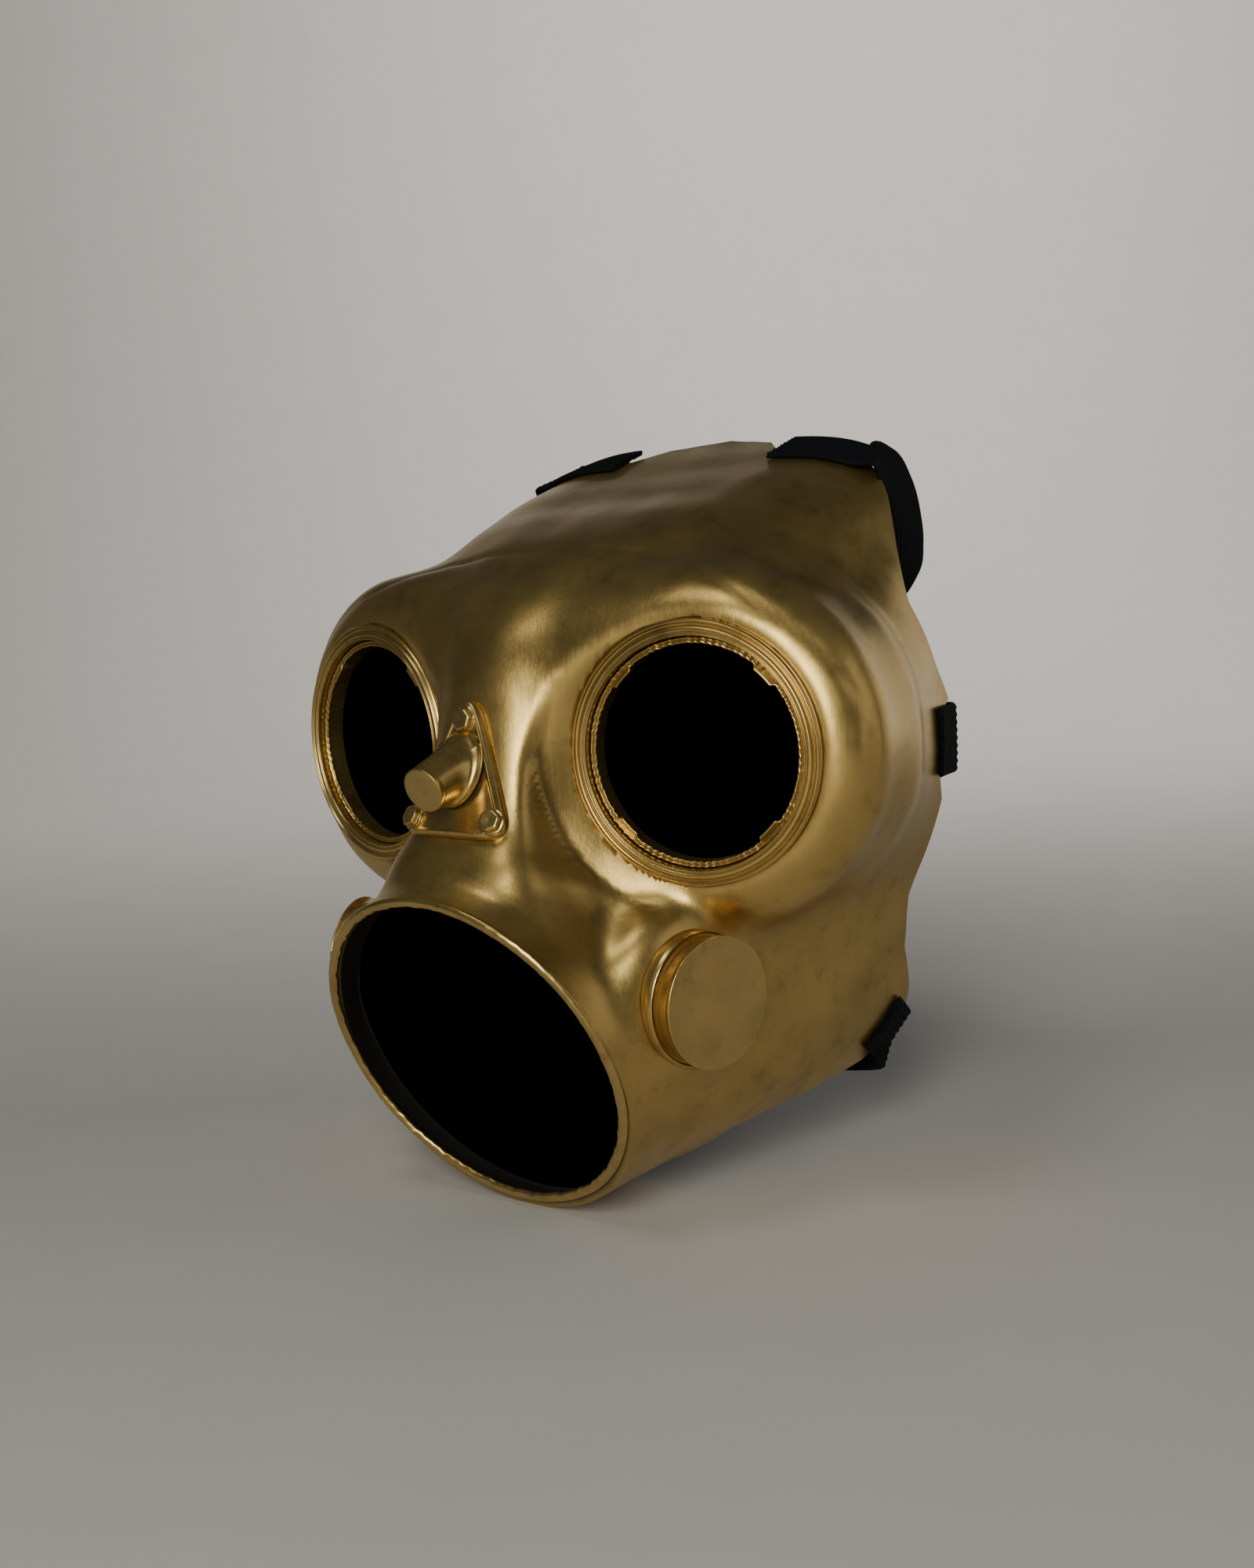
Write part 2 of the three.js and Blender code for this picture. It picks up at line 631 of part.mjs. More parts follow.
// The flange's face must stand clear of the skin all round, so its height starts from the skin's highest spot.
const CHEEK_OUTLINE = circleOutline(CHEEK_FLANGE_R, 32);
const CHEEK_FACE = highestSkin(CHEEK, CHEEK_OUTLINE) + SKIN_GAP + CHEEK_FLANGE_RISE;

function cheekFlange() {
  const pad = skinPad(CHEEK_OUTLINE, CHEEK, () => CHEEK_FACE, 4);
  const hub = placed(disc(CHEEK_HUB_R, CHEEK_FACE - 0.8, CHEEK_FACE + CHEEK_HUB_RISE, 32), CHEEK.origin, CHEEK.n);
  return fromSolid(toSolid(pad).add(toSolid(hub)));
}

function cheekCap() {
  const low = CHEEK_FACE + GAP;
  const high = low + CHEEK_CAP_HEIGHT;
  const edge = 0.7;
  const bore = CHEEK_HUB_R + GAP;
  const profile = [
    [0, high - CHEEK_CAP_TOP],
    [bore, high - CHEEK_CAP_TOP],
    [bore, low],
    [CHEEK_CAP_R, low],
    [CHEEK_CAP_R, high - edge],
    [CHEEK_CAP_R - edge, high],
    [0, high],
  ];
  return placed(lathe(profile, 36), CHEEK.origin, CHEEK.n);
}

// ---- elastic bands ----------------------------------------------------------------------------------------
// Each band has a lap glued on the outside of its tab, and a free run across the back.
// A tab is given by a spot on the skin, the lap's direction over it, and the lap's length.
const TABS = {
  top: { aim: [42, 88, 77], along: [1, 0, -0.25], length: 27 },
  ear: { aim: [80, 80, -5], along: [0, 1, 0], length: 11 },
  jaw: { aim: [61, 77, -86], along: [0.1, 0.8, -0.62], length: 12 },
};

function tabFrame({ aim, along }) {
  const hit = reachSkin(HUB, v3(aim).sub(HUB).normalize());
  const n = skinNormal(hit);
  const u = v3(along).addScaledVector(n, -v3(along).dot(n)).normalize();
  return { origin: hit, n, u, v: new THREE.Vector3().crossVectors(n, u) };
}

function strapEnd(tab) {
  const w = BAND_WIDTH / 2;
  const l = tab.length / 2;
  const outline = roundedOutline([[-l, -w], [l, -w], [l, w], [-l, w]], 1.5, 5, 2);
  return skinPad(outline, tabFrame(tab), (u, v, h) => h + SKIN_GAP + BAND_THICK, 2);
}

// The outer end of a lap's middle line.
function lapEnd(tab) {
  const frame = tabFrame(tab);
  return frame.origin.clone().addScaledVector(frame.u, tab.length / 2);
}

// The top band hangs as a loop behind the edge, its width running front to back.
function topBand() {
  const end = lapEnd(TABS.top);
  const y = end.y + 13;
  const across = new THREE.Vector3(0, 1, 0);
  const x = end.x + 1.5;
  const top = end.z - 3;
  const half = new THREE.CatmullRomCurve3([
    new THREE.Vector3(x, y, top),
    new THREE.Vector3(x + 2, y, top - 14),
    new THREE.Vector3(x - 2, y, top - 27),
    new THREE.Vector3(x - 22, y, top - 38),
    new THREE.Vector3(0, y, top - 44),
  ]);
  const side = half.getSpacedPoints(16);
  const other = side.slice(0, -1).reverse().map((p) => new THREE.Vector3(-p.x, p.y, p.z));
  return bandSolid([...side, ...other].map((point) => ({ point, across })));
}

// The ear and jaw bands run straight across behind their tabs, bowed a little backwards.
function crossBand(tab, bow, sag) {
  const frame = tabFrame(tab);
  const end = lapEnd(tab);
  const across = new THREE.Vector3(0, frame.v.y, frame.v.z).normalize();
  const away = new THREE.Vector3().crossVectors(new THREE.Vector3(1, 0, 0), across);
  if (away.y < 0) away.negate();
  const reach = end.x - 4.5;
  const steps = 24;
  const stations = [];
  for (let i = 0; i <= steps; i += 1) {
    const s = 1 - (2 * i) / steps;
    const point = new THREE.Vector3(reach * s, end.y, end.z).addScaledVector(away, 3.5 + bow * (1 - s * s));
    point.z -= sag * (1 - s * s);
    stations.push({ point, across });
  }
  return bandSolid(stations);
}

// ---- materials ------------------------------------------------------------------------------------------------
const paint = (color, roughness, metalness) => new THREE.MeshStandardMaterial({ color, roughness, metalness });
const GOLD = paint(0x8a7350, 0.38, 0.9);
const BRIGHT_GOLD = paint(0xa08858, 0.25, 0.95);
const ELASTIC = paint(0x10131a, 0.95, 0);
const CLOTH = paint(0x020202, 1, 0);

// ---- assembly -------------------------------------------------------------------------------------------------
const mask = new THREE.Group();

function piece(name, geometry, material) {
  const mesh = new THREE.Mesh(geometry, material);
  mesh.name = name;
  mask.add(mesh);
}

function pair(name, geometry, material) {
  piece(`left_${name}`, geometry, material);
  piece(`right_${name}`, mirrorX(geometry), material);
}

piece('face_shell', faceShell(), GOLD);
pair('eye_bezel', placed(eyeBezel(), EYE, EYE_AXIS), BRIGHT_GOLD);
pair('eye_ring', placed(eyeRing(), EYE, EYE_AXIS), BRIGHT_GOLD);
pair('eye_scrim', placed(eyeScrim(), EYE, EYE_AXIS), CLOTH);
piece('mouth_rim', placed(mouthRim(), MOUTH, MOUTH_AXIS), BRIGHT_GOLD);
piece('mouth_scrim', placed(mouthScrim(), MOUTH, MOUTH_AXIS), CLOTH);
piece('nose_plate', nosePlate(), GOLD);
piece('nose_bolt_top', noseBolt(0, PLATE_HEIGHT / 2 - BOLT_INSET), GOLD);
pair('nose_bolt', noseBolt(PLATE_HALF_BASE - BOLT_INSET - 1.4, PLATE_LOW + BOLT_INSET), GOLD);
piece('nose_spigot', noseSpigot(), GOLD);
piece('spigot_cap', spigotCap(), GOLD);
pair('cheek_flange', cheekFlange(), GOLD);
pair('cheek_cap', cheekCap(), GOLD);
for (const [name, tab] of Object.entries(TABS)) pair(`${name}_strap_end`, strapEnd(tab), ELASTIC);
piece('top_strap', topBand(), ELASTIC);
piece('ear_strap', crossBand(TABS.ear, 14, 3), ELASTIC);
piece('jaw_strap', crossBand(TABS.jaw, 10, 3), ELASTIC);

export default mask;
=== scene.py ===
"""A gas-mask style costume mask in gold paint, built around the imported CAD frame.

Shapes are worked out in millimetres in the row frame: +X is the wearer's left, the wearer looks along -Y,
+Z is up, and the origin is midway between the centres of the two eye ports.
"""

import math

import bpy
import numpy as np
from bpy.props import FloatProperty, FloatVectorProperty, IntProperty, PointerProperty
from mathutils import Matrix, Vector


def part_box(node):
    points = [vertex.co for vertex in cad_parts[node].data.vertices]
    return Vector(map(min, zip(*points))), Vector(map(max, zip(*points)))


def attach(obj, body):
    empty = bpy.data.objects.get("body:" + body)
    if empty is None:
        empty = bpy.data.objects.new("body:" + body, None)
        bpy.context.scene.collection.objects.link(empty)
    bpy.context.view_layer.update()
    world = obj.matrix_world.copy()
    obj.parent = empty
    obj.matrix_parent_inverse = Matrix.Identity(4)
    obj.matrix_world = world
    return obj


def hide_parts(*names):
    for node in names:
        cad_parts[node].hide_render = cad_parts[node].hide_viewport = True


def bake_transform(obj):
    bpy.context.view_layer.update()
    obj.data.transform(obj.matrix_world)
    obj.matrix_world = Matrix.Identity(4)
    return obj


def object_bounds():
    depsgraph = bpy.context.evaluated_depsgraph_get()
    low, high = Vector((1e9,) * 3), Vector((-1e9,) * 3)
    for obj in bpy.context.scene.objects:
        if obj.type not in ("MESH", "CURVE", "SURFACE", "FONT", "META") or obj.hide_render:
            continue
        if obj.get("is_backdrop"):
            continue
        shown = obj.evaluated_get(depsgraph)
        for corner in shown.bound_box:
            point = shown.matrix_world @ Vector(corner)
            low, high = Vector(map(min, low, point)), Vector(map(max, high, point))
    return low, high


bl_info = {
    "name": "Gold gas-mask costume mask",
    "version": (1, 0, 0),
    "blender": (4, 5, 0),
    "location": "View3D > Sidebar > Mask",
    "description": "Builds a gold face mask with eye ports, a nose spigot, cheek caps and elastic bands",
    "category": "Object",
}

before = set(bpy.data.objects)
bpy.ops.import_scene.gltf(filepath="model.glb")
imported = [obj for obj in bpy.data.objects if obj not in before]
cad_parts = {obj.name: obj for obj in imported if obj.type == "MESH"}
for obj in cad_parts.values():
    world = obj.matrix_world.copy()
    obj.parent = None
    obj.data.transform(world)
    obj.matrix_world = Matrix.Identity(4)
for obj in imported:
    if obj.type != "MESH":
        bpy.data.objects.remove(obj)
CAD_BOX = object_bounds()
MM = 0.001


def array(*numbers):
    return np.array(numbers, float)


def unit(v):
    v = np.asarray(v, float)
    return v / np.linalg.norm(v, axis=-1, keepdims=True)


# ---- driving dimensions, as in the CAD part ---------------------------------------------------------
WALL = 2.2
SKIN_GAP = 0.6
X_AXIS = array(1, 0, 0)
Z_AXIS = array(0, 0, 1)
EYE = array(54.1, 0, 0)
EYE_AXIS = array(math.sin(0.205), -math.cos(0.205), 0)
SEAT_BACK = 1.5
BEZEL_RADIUS = 33.0
MOUTH = array(0, -27.4, -76.1)
MOUTH_PITCH = 0.3805
MOUTH_AXIS = array(0, -math.cos(MOUTH_PITCH), -math.sin(MOUTH_PITCH))
MOUTH_UP = array(0, -math.sin(MOUTH_PITCH), math.cos(MOUTH_PITCH))
FOREHEAD_SLOPE = 0.3152
HUB = array(0, 55, -20)
HUB_AXIS = unit(MOUTH - HUB)
HUB_UP = np.cross(HUB_AXIS, X_AXIS)
HUB_UP = HUB_UP * np.sign(HUB_UP[2])
EDGE_AIMS = array(
    [0, 104, 81], [10, 101.5, 80.3], [18, 98, 79], [27, 88, 76], [33, 96, 79], [44, 98, 79.5],
    [56, 90, 71], [62, 84, 60], [66, 78, 47], [75, 73.5, 33], [78, 79, 15], [80, 85, 6],
    [80, 77, 4], [80, 77, -14], [75, 80, -21], [71, 76, -35], [70, 73, -46], [68, 75, -61],
    [65, 82, -74], [63, 84, -82], [56, 73, -95], [53, 52, -99], [52, 38, -101], [45, 25, -107],
    [36, 22, -113], [20, 20, -120], [0, 20, -124])
CHEEK_AXIS = array(math.sin(1.355), -math.cos(1.355), 0)
CHEEK_PAD = array(52.2, -1.4, -60.6)
CHEEK_RADIUS = 17.3
NOSE_TILT = 0.3848
NOSE_NORMAL = array(0, -math.cos(NOSE_TILT), math.sin(NOSE_TILT))
SPIGOT_PITCH = 0.335
SPIGOT_AXIS = array(0, -math.cos(SPIGOT_PITCH), -math.sin(SPIGOT_PITCH))
SNOUT_RADIUS = 46.2
SPIGOT_LENGTH = 11.0
SPIGOT_BASE_RADIUS = 6.4
SPIGOT_TIP_RADIUS = 5.9
BOLT_ACROSS = 12.2
BOLT_UP = 12.85
EYE_CLOTH_RADIUS = 32.5
EYE_CLOTH_HEIGHT = -7.6
FRONT_CLOTH_RADIUS = 42.8
FRONT_CLOTH_HEIGHT = -9.3
MIRROR = array(-1, 1, 1)


# ---- the shell's outer form: a field that is negative inside, worked out on whole arrays --------------
def soft_min(a, b, k):
    """The smaller of two fields, with a fillet of size k where they cross."""
    h = np.maximum(k - np.abs(a - b), 0) / k
    return np.minimum(a, b) - h * h * k / 4


def soft_max(a, b, k):
    return -soft_min(-a, -b, k)


def egg(x, y, z, centre, half, power):
    """Superellipse across X and Z, ellipse along Y, scaled to about a distance."""
    u, v, w = (np.abs(q - c) / h for q, c, h in zip((x, y, z), centre, half))
    size = np.hypot((u ** power + w ** power) ** (1 / power), v)
    slope = np.sqrt((u / half[0]) ** 2 + (v / half[1]) ** 2 + (w / half[2]) ** 2)
    return 0.9 * (size - 1) / np.maximum(slope / np.maximum(np.sqrt(u * u + v * v + w * w), 1e-9), 1e-6)


def rounded(p, centre, half, power):
    """Superellipsoid with one power along all three axes, scaled to about a distance."""
    q = (p - array(*centre)) / array(*half)
    size = (np.abs(q) ** power).sum(-1) ** (1 / power)
    slope = np.linalg.norm(q / array(*half), axis=-1) / np.maximum(np.linalg.norm(q, axis=-1), 1e-9)
    return (size - 1) / np.maximum(slope, 1e-6)


def nearest_on_line(p, a, b):
    """How far along a to b the nearest point is, from 0 to 1, and that point."""
    run = b - a
    t = np.clip((p - a) @ run / (run @ run), 0, 1)
    return t, a + t[..., None] * run


def about_axis(p, origin, axis):
    """Distance along an axis from an origin, and distance out from it."""
    q = p - origin
    along = q @ axis
    return along, np.sqrt(np.maximum((q * q).sum(-1) - along * along, 0))


def puck(p, origin, axis, front, half, radius, edge):
    """A thick disc with rounded edges, its front at a height above the origin's plane."""
    along, across = about_axis(p, origin, axis)
    dr = across - (radius - edge)
    dz = np.abs(along - front + half) - (half - edge)
    return np.minimum(np.maximum(dr, dz), 0) + np.hypot(np.maximum(dr, 0), np.maximum(dz, 0)) - edge


def brow_bar(p):
    _, near = nearest_on_line(p, array(0, 8.5, 20), array(54.1, 23, 20))
    return np.linalg.norm(p - near, axis=-1) - 19


def nose_ridge(p):
    """A ridge whose half width grows downwards, with a cubic section."""
    flat = p * array(0, 1, 1)
    t, near = nearest_on_line(flat, array(0, 0, 8), array(0, -18.5, -30))
    half = 9 + 14 * t
    size = np.cbrt((p[..., 0] / half) ** 3 + (np.linalg.norm(flat - near, axis=-1) / 14.5) ** 3)
    return (size - 1) * half * 0.85


def eye_dish(p):
    """Positive above a shallow cone that rises from the bezel's edge, so that the skin runs down to it.
    The cone is steep beyond 7 mm from the edge."""
    along, across = about_axis(p, EYE, EYE_AXIS)
    out = across - BEZEL_RADIUS
    return 0.78 * (along + 0.1 - 0.8 * np.maximum(out, -3) - 3 * np.maximum(out - 7, 0))


def snout(p):
    """A cone back from the front opening, which grows wider than high."""
    front = MOUTH + 2 * MOUTH_AXIS
    run = array(0, 60, -66) - front
    length = np.linalg.norm(run)
    run = run / length
    q = p - front
    along = q @ run
    q = q - along[..., None] * run
    t = np.clip(along / length, 0, 1.3)
    across = np.sqrt((q[..., 0] / (1 + 0.17 * t)) ** 2 + q[..., 1] ** 2 + q[..., 2] ** 2)
    return 0.95 * (across - (SNOUT_RADIUS + 4.8 * np.minimum(t, 1)))


def skin(point):
    """The shell's outer form: skull, temples, mounds and brow, joined to snout, jaw and nose."""
    p = point * array(1, 1, 1)
    p[..., 0] = np.abs(p[..., 0])
    x, y, z = p[..., 0], p[..., 1], p[..., 2]
    low = -z - 10
    taper = 1 - 0.0008 * (low + np.sqrt(low * low + 150))
    head = egg(x / taper, y, z, (0, 95, -14), (80, 104, 112), 2.3)
    forehead_up = array(0, -math.sin(FOREHEAD_SLOPE), math.cos(FOREHEAD_SLOPE))
    head = soft_max(head, (p - array(0, 12, 51.3)) @ forehead_up, 14)
    head = soft_min(head, egg(x, y, z, (0, 44, -2), (86.5, 54, 46), 2.6), 20)
    mound = puck(p, EYE, EYE_AXIS, -SEAT_BACK, 24, 45.5, 14.5)
    head = soft_min(soft_min(head, mound, 9), brow_bar(p), 12)
    jaw = rounded(p, (0, 58, -64), (61, 76, 48), 2.2)
    muzzle = soft_min(soft_min(snout(p), jaw, 15), nose_ridge(p), 14)
    pad = puck(p, CHEEK_PAD, CHEEK_AXIS, 0, 12, CHEEK_RADIUS + 5.5, 8)
    return soft_max(soft_min(soft_min(head, muzzle, 13), pad, 6), eye_dish(p), 3)


def skin_normal(p, step=0.4):
    offsets = np.eye(3) * step
    return unit(np.stack([skin(p + o) - skin(p - o) for o in offsets], -1))


def reach(start, direction, level=0.0, first=0.0, farthest=170.0):
    """Goes from each start along its direction until the field passes level: steps of 2, then halving."""
    start, direction = np.broadcast_arrays(start, direction)
    inner = np.full(start.shape[:-1], float(first))
    going = np.ones(inner.shape, bool)
    for _ in range(int(farthest / 2)):
        going &= skin(start + (inner + 2)[..., None] * direction) < level
        inner = inner + 2.0 * going
    outer = inner + 2
    for _ in range(16):
        middle = (inner + outer) / 2
        inside = skin(start + middle[..., None] * direction) < level
        inner = np.where(inside, middle, inner)
        outer = np.where(inside, outer, middle)
    return start + outer[..., None] * direction


# ---- meshes --------------------------------------------------------------------------------------------
def grid_faces(rows, columns, wrap_rows=False, wrap_columns=False, start=0):
    """Four-sided faces of a grid of rows by columns vertices, closed round where it wraps."""
    i = np.arange(rows if wrap_rows else rows - 1)[:, None]
    j = np.arange(columns if wrap_columns else columns - 1)[None, :]
    down, right = (i + 1) % rows, (j + 1) % columns
    corners = (i * columns + j, down * columns + j, down * columns + right, i * columns + right)
    return start + np.stack([np.broadcast_to(c, (i.size, j.size)) for c in corners], -1).reshape(-1, 4)


def fan_faces(ring, centre, flip=False):
    """Triangles from a closed ring of vertex numbers to a centre vertex."""
    ring = np.asarray(ring)
    after = np.roll(ring, -1)
    middle = np.full(len(ring), centre)
    return np.stack([after, ring, middle] if flip else [ring, after, middle], -1)


def signed_volume(points, faces):
    a, b, c = points[faces[:, 0]], points[faces[:, 1]], points[faces[:, 2]]
    return (np.cross(a, b) * c).sum() / 6


def make_mesh(name, points, quads, triangles=None, attributes=None, sharp=40.0):
    """A mesh from whole arrays in millimetres, turned so that its faces point outwards."""
    if triangles is None:
        triangles = np.zeros((0, 3), int)
    halves = np.concatenate([quads[:, [0, 1, 2]], quads[:, [0, 2, 3]], triangles])
    if signed_volume(points, halves) < 0:
        quads, triangles = quads[:, ::-1], triangles[:, ::-1]
    mesh = bpy.data.meshes.new(name)
    mesh.vertices.add(len(points))
    mesh.vertices.foreach_set("co", (points * MM).astype(np.float32).ravel())
    mesh.loops.add(quads.size + triangles.size)
    corners = np.concatenate([quads.ravel(), triangles.ravel()])
    mesh.loops.foreach_set("vertex_index", corners.astype(np.int32))
    mesh.polygons.add(len(quads) + len(triangles))
    starts = np.concatenate([np.arange(len(quads)) * 4, quads.size + np.arange(len(triangles)) * 3])
    mesh.polygons.foreach_set("loop_start", starts.astype(np.int32))
    mesh.update(calc_edges=True)
    for key, values in (attributes or {}).items():
        layer = mesh.attributes.new(key, "FLOAT", "POINT")
        layer.data.foreach_set("value", np.asarray(values, np.float32))
    mesh.validate()
    mesh.polygons.foreach_set("use_smooth", np.ones(len(mesh.polygons), bool))
    mesh.set_sharp_from_angle(angle=math.radians(sharp))
    piece = bpy.data.objects.new(name, mesh)
    bpy.context.scene.collection.objects.link(piece)
    return piece


def fit_out(piece, body, slot, material, *nodes):
    """Gives a finished piece its material and body, and hides the CAD nodes that it stands for; slot is not
    used.
    """
    piece.data.materials.append(material)
    if body is not None:
        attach(piece, body)
    if nodes:
        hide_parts(*nodes)
    return piece


def round_corners(profile, radius, steps=3, closed=True):
    """A line through points whose corners become short, nearly round arcs. radius, one for each corner or
    one for all, is how far from the corner an arc starts."""
    points = array(*profile)
    out = []
    count = len(points)
    for i in range(count):
        before, here, after = points[i - 1], points[i], points[(i + 1) % count]
        if not closed and i in (0, count - 1):
            out.append(here[None])
            continue
        a, b = before - here, after - here
        la, lb = np.linalg.norm(a), np.linalg.norm(b)
        cut = min(np.broadcast_to(radius, count)[i], la * 0.45, lb * 0.45)
        start, end = here + a / la * cut, here + b / lb * cut
        t = np.linspace(0, 1, steps + 1)[:, None]
        out.append((1 - t) ** 2 * start + 2 * t * (1 - t) * here + t * t * end)
    return np.concatenate(out)


def side_frame(axis):
    """Two directions square to an axis: u, level, and v, up."""
    u = unit(np.cross(axis, Z_AXIS))
    return u, np.cross(u, axis)


def turned(profile, origin, axis, count, shape=None):
    """The points of a profile of (radius, height) carried round an axis, one row for each angle. shape may
    change radius and height with the angle."""
    angle = np.linspace(0, 2 * math.pi, count, endpoint=False)[:, None]
    radius = np.broadcast_to(profile[None, :, 0], (count, len(profile)))
    height = np.broadcast_to(profile[None, :, 1], (count, len(profile)))
    if shape is not None:
        radius, height = shape(angle, radius, height)
    u, v = side_frame(axis)
    out = np.cos(angle)[..., None] * u + np.sin(angle)[..., None] * v
    return origin + radius[..., None] * out + height[..., None] * axis


def turned_ring(name, profile, origin, axis, count, shape=None):
    """A ring: the profile never meets the axis."""
    points = turned(profile, origin, axis, count, shape)
    faces = grid_faces(count, len(profile), wrap_rows=True, wrap_columns=True)
    return make_mesh(name, points.reshape(-1, 3), faces)


def closed_turning(name, points, sharp):
    """A solid from lines of points round an axis, closed by a fan of triangles at both ends of the lines."""
    count, length = points.shape[:2]
    grid = points.reshape(-1, 3)
    ends = [points[:, 0].mean(0), points[:, -1].mean(0)]
    rim = np.arange(count) * length
    fans = np.concatenate([fan_faces(rim, len(grid)), fan_faces(rim + length - 1, len(grid) + 1, flip=True)])
    faces = grid_faces(count, length, wrap_rows=True)
    return make_mesh(name, np.concatenate([grid, ends]), faces, fans, sharp=sharp)


def closed_tube(name, loops, sharp, attributes=None):
    """A solid from closed loops of points, one after another, with a fan of triangles over both ends."""
    count, size = loops.shape[:2]
    grid = loops.reshape(-1, 3)
    ends = [loops[0].mean(0), loops[-1].mean(0)]
    first = np.arange(size)
    last = first + (count - 1) * size
    fans = np.concatenate([fan_faces(first, len(grid), flip=True), fan_faces(last, len(grid) + 1)])
    faces = grid_faces(count, size, wrap_columns=True)
    return make_mesh(name, np.concatenate([grid, ends]), faces, fans, attributes, sharp)


def turned_disc(name, profile, origin, axis, count, shape=None, sharp=40.0):
    """A solid: the profile runs from near the axis at the back round to near the axis at the front."""
    return closed_turning(name, turned(profile, origin, axis, count, shape), sharp)


def ripple(p, sizes, seeds, amount):
    """A smooth unevenness: a sum of sine waves, one for each size, along directions spread by the seed."""
    total = np.zeros(p.shape[:-1])
    for size, seed in zip(sizes, seeds):
        direction = unit(array(math.sin(seed * 2.1), math.cos(seed * 1.3), math.sin(seed * 0.7 + 1)))
        bend = 0.6 * np.sin(p @ np.roll(direction, 1) * (1.7 / size) + seed)
        total = total + np.sin(p @ direction * (2 * math.pi / size) + seed * 3 + bend)
    return amount * total / len(sizes)


def line_dip(p, stops, width, depth):
    """A groove along a broken line: depth times a bell curve of the distance to it."""
    best = np.full(p.shape[:-1], 1e9)
    for a, b in zip(stops[:-1], stops[1:]):
        _, near = nearest_on_line(p, array(*a), array(*b))
        best = np.minimum(best, np.linalg.norm(p - near, axis=-1))
    return depth * np.exp(-(best / width) ** 2)


# ---- the shell -----------------------------------------------------------------------------------------
def hub_angles(p):
    d = unit(p - HUB)
    return np.arctan2(d[..., 0], d @ HUB_UP), np.arccos(np.clip(d @ HUB_AXIS, -1, 1))


def hub_direction(turn, opening):
    turn, opening = turn[..., None], opening[..., None]
    across = np.cos(turn) * HUB_UP + np.sin(turn) * X_AXIS
    return np.cos(opening) * HUB_AXIS + np.sin(opening) * across


def shell_columns(columns):
    """Angles of each column at the back edge and at the front opening. The back edge follows the aims on
    both sides, at an even pace, and the front's angle is halfway between an even pace and the column's."""
    turn, opening = hub_angles(EDGE_AIMS)
    pace = np.hypot(np.diff(turn) * np.sin(opening[1:]), np.diff(opening))
    walked = np.concatenate([[0], np.cumsum(pace + 0.5 * math.pi / len(pace))])
    at = np.linspace(0, 1, columns // 2 + 1) * walked[-1]
    stop = np.interp(at, walked, np.arange(len(turn)))
    side_turn = np.interp(stop, np.arange(len(turn)), turn)
    side_opening = np.interp(stop, np.arange(len(turn)), opening)
    front = 0.5 * (side_turn + math.pi * stop / (len(turn) - 1))

    def both(half, sign):
        return np.concatenate([half, sign * half[-2:0:-1]])

    return both(side_turn, -1), both(side_opening, 1), both(front, -1)


def shell_surface(turn, opening, front, rows, level):
    """Points where rays from the hub pass the field's level, from the front opening to the back edge."""
    centre = MOUTH - 1.8 * MOUTH_AXIS
    out = np.cos(front)[:, None] * MOUTH_UP + np.sin(front)[:, None] * X_AXIS
    rim = reach(centre, out, level, first=20, farthest=60)
    rim_turn, rim_opening = hub_angles(rim)
    t = np.linspace(0, 1, rows)[None, 1:]
    turns = rim_turn[:, None] + (turn - rim_turn)[:, None] * t
    openings = rim_opening[:, None] + (opening - rim_opening)[:, None] * t
    rest = reach(HUB, hub_direction(turns, openings), level, first=8)
    return np.concatenate([rim[:, None], rest], 1)


def shell_marks(p):
    """Depth of the marks in the skin: a brow crease, a fold behind each mound, and an uneven surface."""
    q = p * array(1, 1, 1)
    q[..., 0] = np.abs(q[..., 0])
    crease = line_dip(q, [(0, 15.7, 51.3), (36.8, 16.8, 48.2), (56, 7.6, 42.7), (68.5, 7.2, 36.7),
                          (83.2, 11, 26), (91.4, 14.6, 14.6)], 1.3, 0.4)
    fold = line_dip(p, [(94.6, 16.8, 4), (94.3, 16.7, -7)], 0.8, 1.0)
    glue = line_dip(p, [(22.6, -5, -8), (32.6, -2.9, -21.8), (42.7, -0.9, -31.4)], 1.2, -0.35)
    return crease + fold + glue + ripple(p, (47, 31, 23, 16), (1, 2, 3, 4), 0.28)


def hollowness(p, reach_mm=3.0):
    """How concave the skin is at each point: the field's Laplacian, positive in grooves."""
    offsets = np.eye(3) * reach_mm
    total = sum(skin(p + o) + skin(p - o) for o in offsets) - 6 * skin(p)
    return -total / reach_mm ** 2


def build_shell(columns, rows):
    turn, opening, front = shell_columns(columns)
    outer = shell_surface(turn, opening, front, rows, 0.0)
    inner = shell_surface(turn, opening, front, rows, -WALL)
    normal = skin_normal(outer)
    # Painted shade and painted highlight: the weight that darkens the paint in grooves and brightens it on
    # ridges.
    hollow = np.clip(hollowness(outer) * 6, -1, 1)
    fade = np.clip((np.linspace(0, 1, rows) - 0.02) / 0.05, 0, 1)[None, :]
    _, near_eye = about_axis(outer * np.where(outer[..., :1] < 0, MIRROR, 1), EYE, EYE_AXIS)
    fade = fade * np.clip((near_eye - BEZEL_RADIUS) / 4, 0, 1)
    outer = outer - (shell_marks(outer) * fade)[..., None] * normal
    loop = np.concatenate([outer, inner[:, ::-1]], 1)
    faces = grid_faces(columns, 2 * rows, wrap_rows=True, wrap_columns=True)
    points = loop.reshape(-1, 3)
    inside = np.concatenate([np.zeros((columns, rows)), np.ones((columns, rows))], 1).ravel()
    # Painted shade inside: the wall is painted darker, to nearly black, towards the front opening.
    near_front = np.clip(1.3 - np.linalg.norm(inner - MOUTH, axis=-1) / 60, 0, 1)[:, ::-1]
    hollows = np.concatenate([hollow, near_front], 1).ravel()
    piece = make_mesh("shell", points, faces, attributes={"inside": inside, "hollow": hollows}, sharp=55)
    bore_eyes(piece)
    return piece


